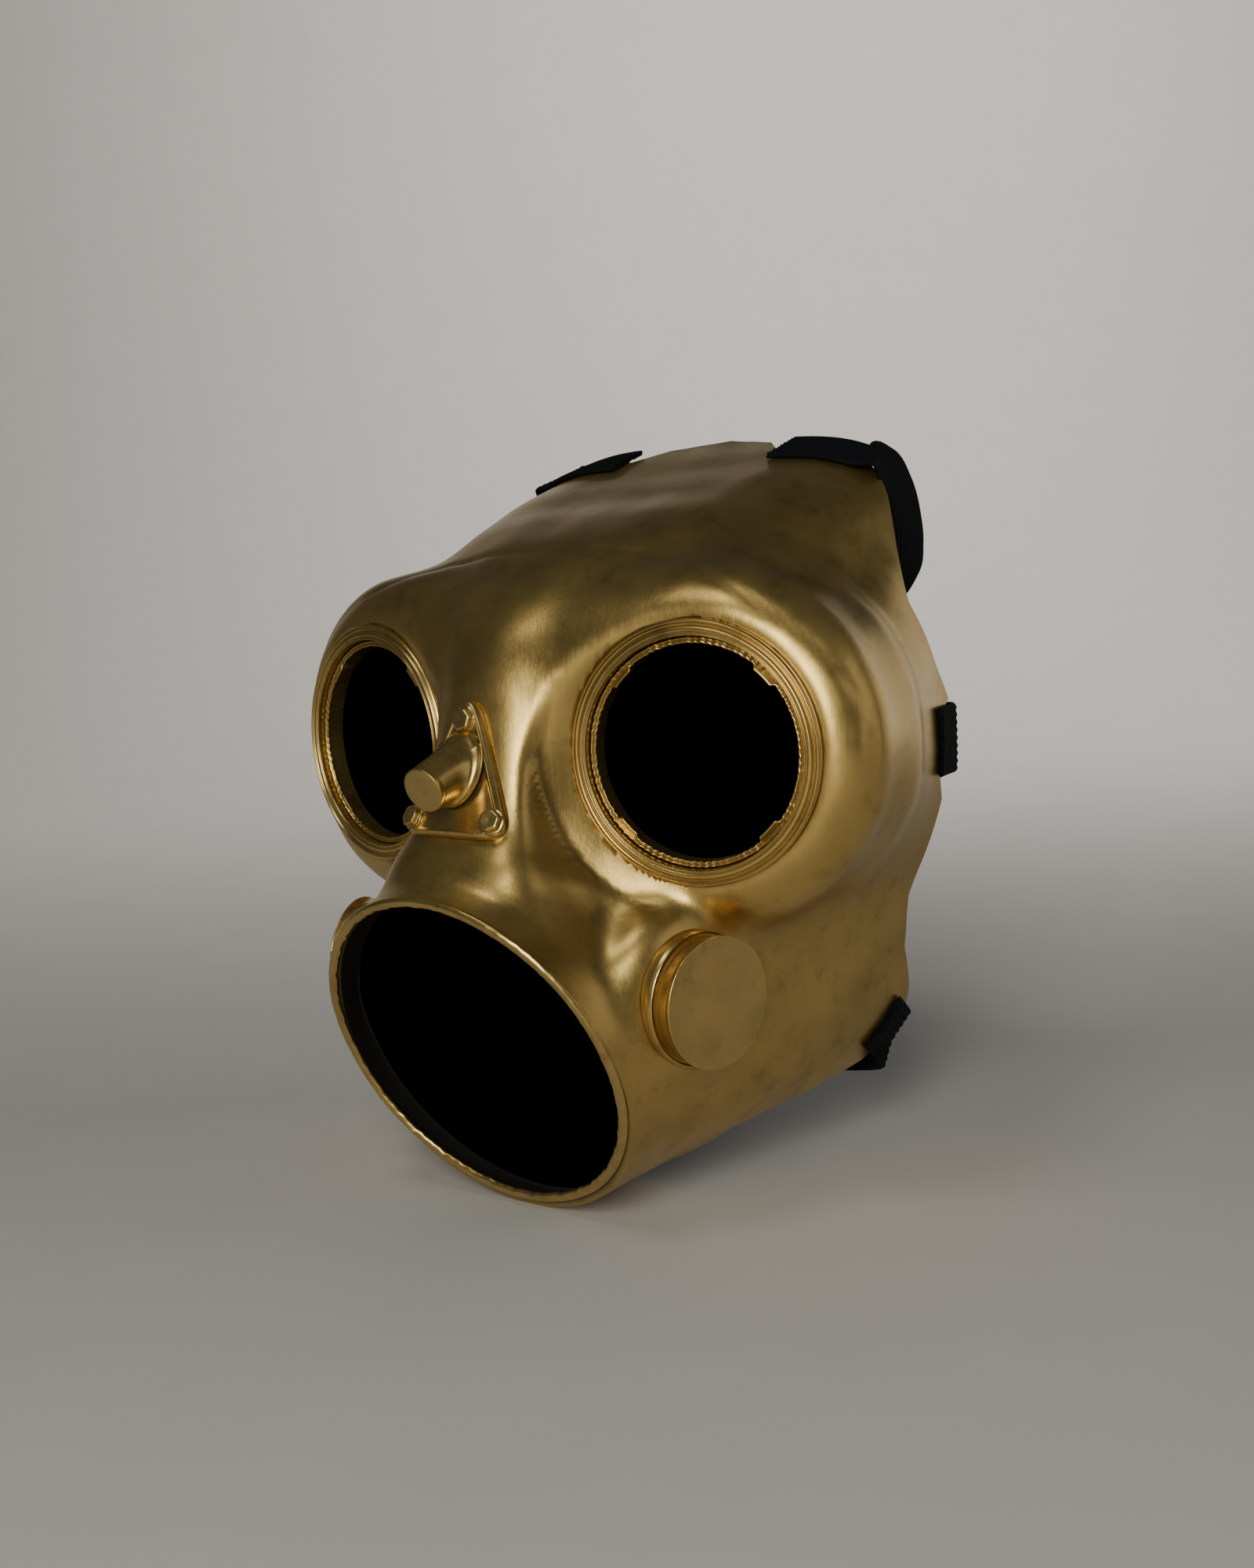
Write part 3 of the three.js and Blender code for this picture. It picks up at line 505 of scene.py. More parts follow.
def bore_eyes(piece):
    """Cuts the two eye openings through the wall with a plain drill, then removes the drill."""
    wide = BEZEL_RADIUS + 0.05
    profile = array([0.01, -22], [30, -22], [30, -1.35], [wide, -1.35], [wide, 16], [0.01, 16])
    for side in (1, -1):
        mirror = array(side, 1, 1)
        drill = turned_disc("drill", profile, EYE * mirror, EYE_AXIS * mirror, 128)
        # The drill gives the cut walls the inside colour at full painted shade, nearly black.
        for key in ("inside", "hollow"):
            layer = drill.data.attributes.new(key, "FLOAT", "POINT")
            layer.data.foreach_set("value", np.ones(len(drill.data.vertices), np.float32))
        cut = piece.modifiers.new("bore", "BOOLEAN")
        cut.operation = "DIFFERENCE"
        cut.solver = "EXACT"
        cut.object = drill
        apply_modifiers(piece)
        bpy.data.objects.remove(drill)


def apply_modifiers(piece):
    """Makes the modifiers' result the mesh."""
    depsgraph = bpy.context.evaluated_depsgraph_get()
    made = bpy.data.meshes.new_from_object(piece.evaluated_get(depsgraph))
    piece.modifiers.clear()
    piece.data = made


# ---- eye ports -----------------------------------------------------------------------------------------
BEZEL_PROFILE = [
    (28.7, -7), (29.7, -7), (29.7, -1.2), (33, -1.2), (33, 0.15), (32.55, 0.7), (32.2, 0.7), (31.9, 0.05),
    (31.35, -0.15), (31.05, 0.45), (30.7, 0.8), (29.95, 0.85), (29.65, 0.45), (29.4, 0.45), (29.25, 0.9),
    (28.95, 0.9), (28.7, 0.4)]
RING_PROFILE = [
    (26.85, -6.6), (28.35, -6.6), (28.35, -1.3), (28.0, -1.25), (27.75, -1.75), (27.45, -1.3), (27.0, -1.25),
    (26.8, -1.7), (26.95, -2.6)]


def ring_lugs(angle, radius, height):
    """Four lugs: the bore comes inwards over short arcs near the front, with lumps of glue between them."""
    beat = np.cos(4 * angle - math.pi)
    lug = np.clip((beat - 0.86) / 0.05, 0, 1) * (radius < 27.6) * (height > -4)
    lumps = 0.10 * np.sin(61 * angle) * np.sin(23 * angle + 1) + 0.07 * np.sin(97 * angle + 2)
    rough = lumps * (height > -3) * (1 - lug)
    return radius - 1.0 * lug + rough * (radius < 28.2), height + 0.5 * lug + 0.8 * rough


def cloth_disc(name, radius, height, origin, axis, shape=None):
    """Cloth over a hole, with a shallow sag that grows towards the middle. shape may cut its edge to the
    hole."""
    r = np.linspace(radius, 0.4, 24)
    sag, half = 0.3, 0.2
    dish = height - sag * (1 - (r / radius) ** 2)
    profile = np.stack([np.concatenate([r[::-1], r]), np.concatenate([dish[::-1] - half, dish + half])], -1)
    return turned_disc(name, profile, origin, axis, 96, shape)


# ---- nose ----------------------------------------------------------------------------------------------
def frame_on_skin(aim, normal):
    """A plane that touches the skin near aim: its origin, u to the side, v up, and normal n."""
    origin = reach(aim - 14 * normal, normal, farthest=60)
    v = unit(Z_AXIS - (Z_AXIS @ normal) * normal)
    return origin, np.cross(v, normal), v, normal


def lift(plane, u, v, n):
    origin, us, vs, ns = plane
    return origin + u[..., None] * us + v[..., None] * vs + n[..., None] * ns


def skin_height(plane, u, v):
    """The skin's height above a plane at each u and v."""
    start = lift(plane, u, v, np.full(np.shape(u), -14.0))
    return (reach(start, plane[3], farthest=60) - start) @ plane[3] - 14


def rounded_outline(corners, radius, count):
    """A polygon with rounded corners as count points, evenly spaced."""
    bends = round_corners(corners, radius, steps=16)
    loop = np.concatenate([bends, bends[:1]])
    walked = np.concatenate([[0], np.cumsum(np.linalg.norm(np.diff(loop, axis=0), axis=1))])
    at = np.linspace(0, walked[-1], count, endpoint=False)
    return np.stack([np.interp(at, walked, loop[:, k]) for k in (0, 1)], -1)


def pad_on_skin(name, outline, plane, face, inset, centre=(0, 0)):
    """A pad that follows the skin. Its front is face(s, height of skin), where s goes from 0 in the middle
    to 1 at the outline; the side goes down to just above the skin."""
    s = np.concatenate([np.linspace(0.02, 0.86, 24), inset, [1.0]])[:, None]
    u = centre[0] + (outline[None, :, 0] - centre[0]) * s
    v = centre[1] + (outline[None, :, 1] - centre[1]) * s
    skin_at = skin_height(plane, u, v)
    top = lift(plane, u, v, face(np.broadcast_to(s, u.shape), skin_at))
    foot = lift(plane, u, v, skin_at + 0.15)
    return closed_tube(name, np.concatenate([top, foot[::-1]]), sharp=50)


PLATE_HALF_BASE = 18.0
PLATE_LOW = -17.25
PLATE_HIGH = 23.5
PLATE_THICK = 2.2


def build_nose_plate(plane):
    corners = [(-PLATE_HALF_BASE, PLATE_LOW), (PLATE_HALF_BASE, PLATE_LOW), (0, PLATE_HIGH)]
    outline = rounded_outline(corners, (8.5, 8.5, 12.5), 240)
    inset = np.linspace(0.87, 0.995, 16)

    def face(s, skin_at):
        bead = 0.5 * np.exp(-((s - 0.9) / 0.03) ** 2)
        drop = 1.1 * np.clip((s - 0.94) / 0.06, 0, 1) ** 2
        return skin_at + SKIN_GAP + PLATE_THICK - 0.3 + bead - drop

    return pad_on_skin("nose_plate_cast", outline, plane, face, inset, centre=(0, -6))


def build_bolt(name, plane, u, v):
    """A six-sided head with rounded corners on a low round seat."""
    spot = lift(plane, array(u), array(v), skin_height(plane, array(u), array(v)))[0]
    axis = skin_normal(spot[None])[0]
    profile = round_corners([(0.02, 2.0), (3.5, 2.0), (3.5, 2.75), (2.95, 2.9), (2.9, 4.2), (2.3, 4.55),
                             (0.02, 4.55)], 0.25, closed=False)

    def six_sides(angle, radius, height):
        half = math.pi / 6
        side = np.mod(angle + 0.3, 2 * half) - half
        flat = math.cos(half) / np.cos(side) * 1.06
        hexed = np.where(height > 2.85, np.minimum(radius * flat, radius), radius)
        return hexed, height - 0.2 * (radius < 1.3) * (height > 4)

    return turned_disc(name, profile, spot, axis, 96, six_sides, sharp=30)


def build_spigot(plane, foot, length, tip, base):
    """A cone that flares into the plate: each line of its side runs from the tip's edge to the plate's plane,
    and its foot spreads out as an exponential of the height above that plane."""
    count, steps = 160, 40
    angle = np.linspace(0, 2 * math.pi, count, endpoint=False)[:, None]
    u, v = side_frame(SPIGOT_AXIS)
    out = np.cos(angle)[..., None] * u + np.sin(angle)[..., None] * v
    normal = plane[3]
    slope = (base - tip) / length
    at_tip = foot + length * SPIGOT_AXIS + tip * out
    side = -SPIGOT_AXIS + slope * out
    down = -((at_tip - foot) @ normal) / (side @ normal)
    t = 1 - (1 - np.linspace(0, 1, steps)[None, :]) ** 1.6
    points = at_tip + (t * down)[..., None] * side
    height = (points - foot) @ normal
    away = unit(out - (out @ normal)[..., None] * normal)
    spread = 2.0 * np.exp(-np.maximum(height, 0) / 1.5) + 0.5 * np.exp(-((height - 0.9) / 0.5) ** 2)
    spread = spread * np.where((out @ plane[2])[..., 0][..., None] > 0.5, 0.45, 1.0)
    points = points + spread[..., None] * away - 0.1 * normal * t[..., None]
    below = points[:, -1:] - 0.5 * normal
    return closed_turning("nose_spigot_cast", np.concatenate([points, below], 1), sharp=50)


# ---- cheek caps ----------------------------------------------------------------------------------------
def build_cheek_flange(name, plane, face_height, mirror):
    angle = np.linspace(0, 2 * math.pi, 200, endpoint=False)
    outline = CHEEK_RADIUS * np.stack([np.cos(angle), np.sin(angle)], -1)
    inset = np.linspace(0.88, 0.995, 14)

    def face(s, skin_at):
        lip = 0.75 * np.exp(-((s - 0.968) / 0.018) ** 2) - 0.35 * np.clip((s - 0.978) / 0.022, 0, 1) ** 2
        return np.full(s.shape, face_height) - 1.0 + lip

    piece = pad_on_skin(name, outline, plane, face, inset)
    if mirror:
        mirror_piece(piece)
    return piece


def mirror_piece(piece):
    """Mirrors a mesh in the plane X = 0 and turns its faces the right way round again."""
    piece.data.transform(Matrix.Scale(-1, 4, Vector((1, 0, 0))))
    piece.data.flip_normals()
    piece.data.update()


def cheek_cap_shape(angle, radius, height):
    """A slightly uneven hand-finished disc: its rim and face rise and fall by tenths of a millimetre."""
    wave = 0.10 * np.sin(2 * angle + 0.6) + 0.05 * np.sin(5 * angle)
    return radius + 0.5 * wave * (radius > 14), height + wave * (radius / 17) * (height > 4)


# ---- bands ---------------------------------------------------------------------------------------------
BAND_WIDTH = 19.0
BAND_THICK = 1.3


def smooth_path(points, step=1.0):
    """A Catmull-Rom curve through the points, as evenly spaced points and the length walked to each."""
    p = array(*points)
    before = np.concatenate([[2 * p[0] - p[1]], p[:-1]])
    after = np.concatenate([p[1:], [2 * p[-1] - p[-2]]])
    tangent = (after - before) / 2
    t = np.linspace(0, 1, 16, endpoint=False)[None, :, None]
    a, b, ta, tb = (q[:, None] for q in (p[:-1], p[1:], tangent[:-1], tangent[1:]))
    curve = ((2 * t ** 3 - 3 * t ** 2 + 1) * a + (t ** 3 - 2 * t ** 2 + t) * ta
             + (3 * t ** 2 - 2 * t ** 3) * b + (t ** 3 - t ** 2) * tb)
    curve = np.concatenate([curve.reshape(-1, p.shape[1]), p[-1:]])
    walked = np.concatenate([[0], np.cumsum(np.linalg.norm(np.diff(curve, axis=0)[:, :3], axis=1))])
    at = np.linspace(0, walked[-1], max(int(walked[-1] / step), 8))
    return np.stack([np.interp(at, walked, curve[:, k]) for k in range(p.shape[1])], -1), at


def build_band(name, path, across, lap_length, fray):
    """A ribbed elastic band swept along a path: its section is a flat bar with nine ribs. Over the laps at
    both ends the band is pushed out along the skin's normal until it lies on it."""
    centre, walked = smooth_path(path)
    tangent = unit(np.gradient(centre, axis=0))
    width = unit(np.broadcast_to(across, centre.shape) - (across * tangent).sum(-1, keepdims=True) * tangent)
    normal = np.cross(tangent, width)
    s = np.linspace(-1, 1, 73)
    edge = np.sqrt(np.clip(1 - np.abs(s) ** 14, 0, 1))
    rib = 0.14 * np.cos(9 * math.pi * s) * edge
    half = BAND_THICK / 2
    section_s = np.concatenate([s, s[::-1]])
    section_n = np.concatenate([half * edge + rib, -(half * edge + rib)[::-1]])
    total = walked[-1]
    ends = np.minimum(walked, total - walked)
    ragged = fray * np.sin(section_s * 31) * np.sin(section_s * 13 + 1)
    pull = np.clip(1 - ends / 2.0, 0, 1)[:, None] * ragged[None, :]
    points = (centre[:, None] + (section_s * BAND_WIDTH / 2)[None, :, None] * width[:, None]
              + section_n[None, :, None] * normal[:, None] + pull[..., None] * tangent[:, None])
    side = np.where(points[..., :1] < 0, MIRROR, 1)
    lap = np.clip((lap_length + 2 - ends) / 4, 0, 1)[:, None]
    for _ in range(3):
        gap = skin(points)
        outward = skin_normal(points * side) * side
        layer = 0.25 + half + np.sign((normal[:, None] * outward).sum(-1)) * section_n[None, :]
        points = points + (lap * np.clip(layer - gap, -3, 3))[..., None] * outward
    stations, around = points.shape[:2]
    along = np.concatenate([np.repeat(walked, around), [walked[0], total]]) * MM
    over = np.concatenate([np.tile(section_s, stations), [0, 0]])
    return closed_tube(name, points, 60, {"along": along, "over": over}), total


# ---- shader expressions --------------------------------------------------------------------------------
class Value:
    """A number or colour that varies over a surface. + - and * on values add Math nodes."""

    def __init__(self, maker, socket):
        self.maker = maker
        self.socket = socket

    def combine(self, operation, first, second=None, clamp=False):
        inputs = {0: first} if second is None else {0: first, 1: second}
        settings = {"operation": operation, "use_clamp": clamp}
        return self.maker.node("ShaderNodeMath", settings, inputs, "Value")

    def __add__(self, other):
        return self.combine("ADD", self, other)

    def __sub__(self, other):
        return self.combine("SUBTRACT", self, other)

    def __rsub__(self, other):
        return self.combine("SUBTRACT", other, self)

    def __mul__(self, other):
        return self.combine("MULTIPLY", self, other)

    __radd__ = __add__
    __rmul__ = __mul__

    def clamp(self):
        return self.combine("ADD", self, 0.0, clamp=True)


class Maker:
    """A material under construction, with one method that adds any node."""

    def __init__(self, name):
        self.material = bpy.data.materials.new(name)
        self.material.use_nodes = True
        self.tree = self.material.node_tree
        self.shader = next(n for n in self.tree.nodes if n.type == "BSDF_PRINCIPLED")

    def node(self, kind, settings=None, inputs=None, output=0):
        """Adds a node, sets its settings, then sets or links its sockets, and returns one output."""
        made = self.tree.nodes.new(kind)
        for key, value in (settings or {}).items():
            if key == "stops":
                while len(made.color_ramp.elements) < len(value):
                    made.color_ramp.elements.new(0.5)
                for element, (position, colour) in zip(made.color_ramp.elements, value):
                    element.position = position
                    element.color = colour
            else:
                setattr(made, key, value)
        for key, value in (inputs or {}).items():
            self.feed(made.inputs[key], value)
        return Value(self, made.outputs[output])

    def feed(self, socket, value):
        if isinstance(value, Value):
            self.tree.links.new(value.socket, socket)
        else:
            socket.default_value = value

    def attribute(self, name):
        return self.node("ShaderNodeAttribute", {"attribute_name": name}, None, "Fac")

    def place(self, scale=(1, 1, 1)):
        """Object coordinates in metres, stretched by scale."""
        place = self.node("ShaderNodeTexCoord", None, None, "Object")
        return self.node("ShaderNodeMapping", None, {"Vector": place, "Scale": scale})

    def noise(self, place, scale, detail=3.0, rough=0.5):
        inputs = {"Vector": place, "Scale": scale, "Detail": detail, "Roughness": rough}
        return self.node("ShaderNodeTexNoise", None, inputs, "Fac")

    def ramp(self, value, stops):
        return self.node("ShaderNodeValToRGB", {"stops": stops}, {"Fac": value}, "Color")

    def between(self, value, low, high):
        """0 below low, 1 above high, and a smooth step between."""
        settings = {"interpolation_type": "SMOOTHSTEP"}
        inputs = {"Value": value, "From Min": low, "From Max": high}
        return self.node("ShaderNodeMapRange", settings, inputs)

    def mix(self, factor, a, b):
        inputs = {"Factor": factor, 6: a, 7: b}
        return self.node("ShaderNodeMix", {"data_type": "RGBA"}, inputs, 2)

    def bump(self, height, distance, strength=1.0, normal=None):
        inputs = {"Height": height, "Distance": distance, "Strength": strength}
        if normal is not None:
            inputs["Normal"] = normal
        return self.node("ShaderNodeBump", None, inputs, "Normal")

    def finish(self, **inputs):
        for key, value in inputs.items():
            self.feed(self.shader.inputs[key.replace("_", " ")], value)
        return self.material


def colour(rgb, scale=1.0):
    return (*(c * scale for c in rgb), 1.0)


def gold_paint(name, gold, roughness, shell=False):
    """Satin gold paint: mottled, with fine vertical brushing. On the shell the colour also holds painted
    shade, dark in the grooves, and painted highlight, bright on the ridges."""
    m = Maker(name)
    place = m.place()
    cloudy = m.noise(place, 55.0, 4.0, 0.55)
    blotchy = m.noise(place, 17.0, 2.0)
    brushed = m.noise(m.place((1.0, 1.0, 0.06)), 1400.0, 2.0)
    grain = m.noise(place, 2600.0, 2.0)
    tone = (cloudy * 0.55 + blotchy * 0.45).clamp()
    warm = m.ramp(tone, [(0.3, colour(gold, 0.74)), (0.5, colour(gold)), (0.72, colour(gold, 1.22))])
    grime = m.between(m.noise(place, 120.0, 5.0, 0.65), 0.5, 0.75) * 0.35
    base = m.mix(grime, warm, colour((0.16, 0.085, 0.028)))
    rough = roughness + (cloudy - 0.5) * 0.22 + (brushed - 0.5) * 0.10
    if shell:
        # Painted shade: the colour darkens towards dark umber in the grooves. Painted highlight: it brightens
        # to pale gold on the ridges.
        hollow = m.attribute("hollow")
        base = m.mix(m.between(hollow, 0.25, 1.0) * 0.45, base, colour((0.10, 0.055, 0.02)))
        base = m.mix(m.between(0.0 - hollow, 0.2, 0.9) * 0.35, base, colour(gold, 1.5))
        inside = m.attribute("inside")
        # Inside: the raw dark plastic colour, painted nearly black as shade near the front opening and on the
        # cut eye walls.
        raw_plastic_and_shade = m.mix(hollow, (0.045, 0.036, 0.028, 1), (0.001, 0.001, 0.001, 1))
        base = m.mix(inside, base, raw_plastic_and_shade)
        rough = rough + inside * 0.4
        metal = 0.92 - inside * (0.85 - hollow * 0.9).clamp()
    else:
        metal = 0.92
    relief = brushed * 0.6 + grain * 0.4
    fine = m.bump(relief, 0.00006, 0.5 if shell else 0.15)
    normal = m.bump(cloudy, 0.0006 if shell else 0.0001, 0.35, fine)
    return m.finish(Base_Color=base, Roughness=rough, Metallic=metal, Normal=normal)


def matt_black(name, tint, ribs):
    """Black cloth or ribbed elastic: a weave of fine threads along and across the band."""
    m = Maker(name)
    place = m.place()
    fluff = m.noise(place, 900.0, 3.0)
    base = m.mix(fluff, colour(tint, 0.6), colour(tint, 1.6))
    # For the cloth: a near-zero black with no reflection at all, partly cloth colour and partly painted shade
    # for the dark inside of the mask.
    if not ribs:
        return m.finish(Base_Color=base, Roughness=1.0, Specular_IOR_Level=0.0)
    along = m.attribute("along")
    over = m.attribute("over")
    wave = {"wave_type": "BANDS", "bands_direction": "X"}
    vector = m.node("ShaderNodeCombineXYZ", None, {"X": along, "Y": over * (BAND_WIDTH / 2 * MM)})
    weft = m.node("ShaderNodeTexWave", wave, {"Vector": vector, "Scale": 260.0, "Distortion": 0.6}, "Fac")
    warp = m.node("ShaderNodeTexWave", {"wave_type": "BANDS", "bands_direction": "Y"},
                  {"Vector": vector, "Scale": 300.0, "Distortion": 0.3}, "Fac")
    normal = m.bump(weft * 0.6 + warp * 0.4 + fluff * 0.3, 0.00025, 0.8)
    lint = m.between(m.noise(place, 420.0, 4.0, 0.7), 0.68, 0.8) * 0.15
    base = m.mix(lint, base, (0.10, 0.10, 0.11, 1))
    return m.finish(Base_Color=base, Roughness=0.9, Normal=normal, Specular_IOR_Level=0.2)


def plain(name, rgb, roughness, **more):
    m = Maker(name)
    speck = m.noise(m.place(), 30.0, 3.0)
    base = m.mix(speck, colour(rgb, 0.97), colour(rgb, 1.03))
    return m.finish(Base_Color=base, Roughness=roughness, **more)


# ---- settings, operators and panel -----------------------------------------------------------------------
class MaskSettings(bpy.types.PropertyGroup):
    columns: IntProperty(name="Shell columns", description="Columns of faces round the shell",
                         default=360, min=80, max=400)
    rows: IntProperty(name="Shell rows", description="Rows of faces from the front opening to the back edge",
                      default=124, min=30, max=130)
    gold: FloatVectorProperty(name="Gold", description="Colour of the shell's paint", subtype="COLOR",
                              default=(0.53, 0.36, 0.118), min=0, max=1)
    bright_gold: FloatVectorProperty(name="Bright gold", description="Colour of the paint on the fittings",
                                     subtype="COLOR", default=(0.58, 0.40, 0.14), min=0, max=1)
    elastic: FloatVectorProperty(name="Elastic", description="Colour of the bands", subtype="COLOR",
                                 default=(0.0035, 0.004, 0.0055), min=0, max=1)
    roughness: FloatProperty(name="Paint roughness", description="Roughness of the gold paint",
                             default=0.34, min=0.05, max=1, subtype="FACTOR")
    key_light: FloatProperty(name="Key light", description="Power of the key light", default=4.6, min=0,
                             unit="POWER")


def settings():
    return bpy.context.scene.mask_settings


def material(name):
    """Makes each of the object's materials once."""
    made = bpy.data.materials.get(name)
    if made is not None:
        return made
    s = settings()
    if name == "shell_paint":
        return gold_paint(name, tuple(s.gold), s.roughness, shell=True)
    if name == "fittings_paint":
        return gold_paint(name, tuple(s.bright_gold), s.roughness - 0.06)
    if name == "ribbed_elastic":
        return matt_black(name, tuple(s.elastic), ribs=True)
    # The cloth behind the openings: near-zero black, partly cloth colour and partly painted shade for the
    # dark inside.
    return matt_black(name, (0.0006, 0.0006, 0.0007), ribs=False)


class MASK_OT_shell(bpy.types.Operator):
    """Build the moulded shell with its two eye openings"""
    bl_idname = "mask.shell"
    bl_label = "Shell"

    def execute(self, context):
        piece = build_shell(settings().columns, settings().rows)
        fit_out(piece, "shell", "gold_shell", material("shell_paint"), "face_shell")
        return {"FINISHED"}


class MASK_OT_eye_ports(bpy.types.Operator):
    """Build the bezel, the turning ring and the cloth of both eye ports"""
    bl_idname = "mask.eye_ports"
    bl_label = "Eye ports"

    def execute(self, context):
        bezel = round_corners(BEZEL_PROFILE, 0.22)
        ring = round_corners(RING_PROFILE, 0.25)
        gold = material("fittings_paint")
        for side, word in ((1, "left"), (-1, "right")):
            centre, axis = EYE * array(side, 1, 1), EYE_AXIS * array(side, 1, 1)
            piece = turned_ring(f"{word}_bezel", bezel, centre, axis, 300)
            fit_out(piece, "shell", "gold_fittings", gold, f"{word}_eye_bezel")
            piece = turned_ring(f"{word}_lug_ring", ring, centre, axis, 720, ring_lugs)
            fit_out(piece, f"{word}_ring", "gold_fittings", gold, f"{word}_eye_ring")
            # The eye cloth's near-zero black is partly painted shade for the dark inside of the mask.
            piece = cloth_disc(f"{word}_eye_cloth", EYE_CLOTH_RADIUS, EYE_CLOTH_HEIGHT, centre, axis)
            fit_out(piece, "shell", "black_cloth", material("black_cloth_and_shade"), f"{word}_eye_scrim")
        return {"FINISHED"}


class MASK_OT_front_opening(bpy.types.Operator):
    """Build the rim of the front opening and the cloth behind it"""
    bl_idname = "mask.front_opening"
    bl_label = "Front opening"

    def execute(self, context):
        profile = round_corners([(44.3, -1.5), (47.0, -1.5), (47.05, -0.9), (46.5, -0.15), (45.6, 0.05),
                                 (44.8, -0.2), (44.3, -0.8)], 0.5, steps=4)

        def uneven(angle, radius, height):
            lumps = 0.16 * np.sin(37 * angle) * np.sin(11 * angle) + 0.07 * np.sin(83 * angle + 1)
            sway = 0.18 * np.sin(5 * angle) * np.sin(2 * angle + 1)
            return radius + lumps * (radius < 45), height + 0.4 * lumps * (height > -0.8) + sway

        piece = turned_ring("front_rim", profile, MOUTH, MOUTH_AXIS, 480, uneven)
        fit_out(piece, "shell", "gold_fittings", material("fittings_paint"), "mouth_rim")

        def cut_to_snout(angle, radius, height):
            start = MOUTH + FRONT_CLOTH_HEIGHT * MOUTH_AXIS
            u, v = side_frame(MOUTH_AXIS)
            edge = reach(start, np.cos(angle) * u + np.sin(angle) * v, -WALL - 0.4, first=30, farthest=40)
            return radius * np.linalg.norm(edge - start, axis=-1, keepdims=True) / FRONT_CLOTH_RADIUS, height

        # The front cloth's near-zero black is partly painted shade for the dark inside of the mask.
        piece = cloth_disc("front_cloth", FRONT_CLOTH_RADIUS, FRONT_CLOTH_HEIGHT, MOUTH, MOUTH_AXIS,
                           cut_to_snout)
        fit_out(piece, "shell", "black_cloth", material("black_cloth_and_shade"), "mouth_scrim")
        return {"FINISHED"}


class MASK_OT_nose(bpy.types.Operator):
    """Build the nose plate, its three bolts, the spigot and the spigot's cap"""
    bl_idname = "mask.nose"
    bl_label = "Nose plate and spigot"

    def execute(self, context):
        gold = material("fittings_paint")
        plane = frame_on_skin(array(0, -24, -3), NOSE_NORMAL)
        fit_out(build_nose_plate(plane), "shell", "gold_fittings", gold, "nose_plate")
        for name, node, u, v in (("top_bolt", "nose_bolt_top", 0, BOLT_UP),
                                 ("left_bolt", "left_nose_bolt", BOLT_ACROSS, -BOLT_UP),
                                 ("right_bolt", "right_nose_bolt", -BOLT_ACROSS, -BOLT_UP)):
            fit_out(build_bolt(name, plane, u, v), "shell", "gold_fittings", gold, node)
        low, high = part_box("spigot_cap")
        tip = SPIGOT_TIP_RADIUS
        cap_centre = array(0, *((low + high) / 2 / MM)[1:])
        foot = cap_centre - (SPIGOT_LENGTH + 0.3 + 0.8) * SPIGOT_AXIS
        piece = build_spigot(plane, foot, SPIGOT_LENGTH + 0.25, tip, SPIGOT_BASE_RADIUS)
        fit_out(piece, "shell", "gold_fittings", gold, "nose_spigot")
        profile = round_corners([(0.05, 0.3), (tip, 0.3), (tip, 1.75), (5.3, 1.9), (0.05, 1.7)], 0.2,
                                closed=False)
        piece = turned_disc("spigot_end", profile, foot + SPIGOT_LENGTH * SPIGOT_AXIS, SPIGOT_AXIS, 120)
        fit_out(piece, "shell", "gold_fittings", gold, "spigot_cap")
        return {"FINISHED"}


class MASK_OT_cheek_caps(bpy.types.Operator):
    """Build the flange and the screw cap on both cheeks"""
    bl_idname = "mask.cheek_caps"
    bl_label = "Cheek caps"

    def execute(self, context):
        gold = material("fittings_paint")
        plane = frame_on_skin(CHEEK_PAD, CHEEK_AXIS)
        angle = np.linspace(0, 2 * math.pi, 64)
        highest = skin_height(plane, CHEEK_RADIUS * np.cos(angle), CHEEK_RADIUS * np.sin(angle)).max()
        face = highest + SKIN_GAP + 0.8
        low, high = face - 0.85, face + 5.7
        profile = round_corners([(0.05, low), (15.9, low), (15.5, low + 1.2), (15.6, high - 2.2),
                                 (16.3, high - 0.8), (16.7, high - 0.4), (16.45, high), (15.9, high - 0.05),
                                 (8, high - 0.2), (0.05, high - 0.2)], 0.35, closed=False)
        for side, word in ((1, "left"), (-1, "right")):
            mirror = array(side, 1, 1)
            piece = build_cheek_flange(f"{word}_flange", plane, face, side < 0)
            fit_out(piece, "shell", "gold_fittings", gold, f"{word}_cheek_flange")
            piece = turned_disc(f"{word}_cap", profile, plane[0] * mirror, CHEEK_AXIS * mirror, 180,
                                cheek_cap_shape)
            fit_out(piece, f"{word}_cap", "gold_fittings", gold, f"{word}_cheek_cap")
        return {"FINISHED"}


def both_sides(half):
    """A path's left half, from its end to the middle, followed by its mirror image."""
    half = [array(*p) for p in half]
    return half + [p * MIRROR for p in half[-2::-1]]


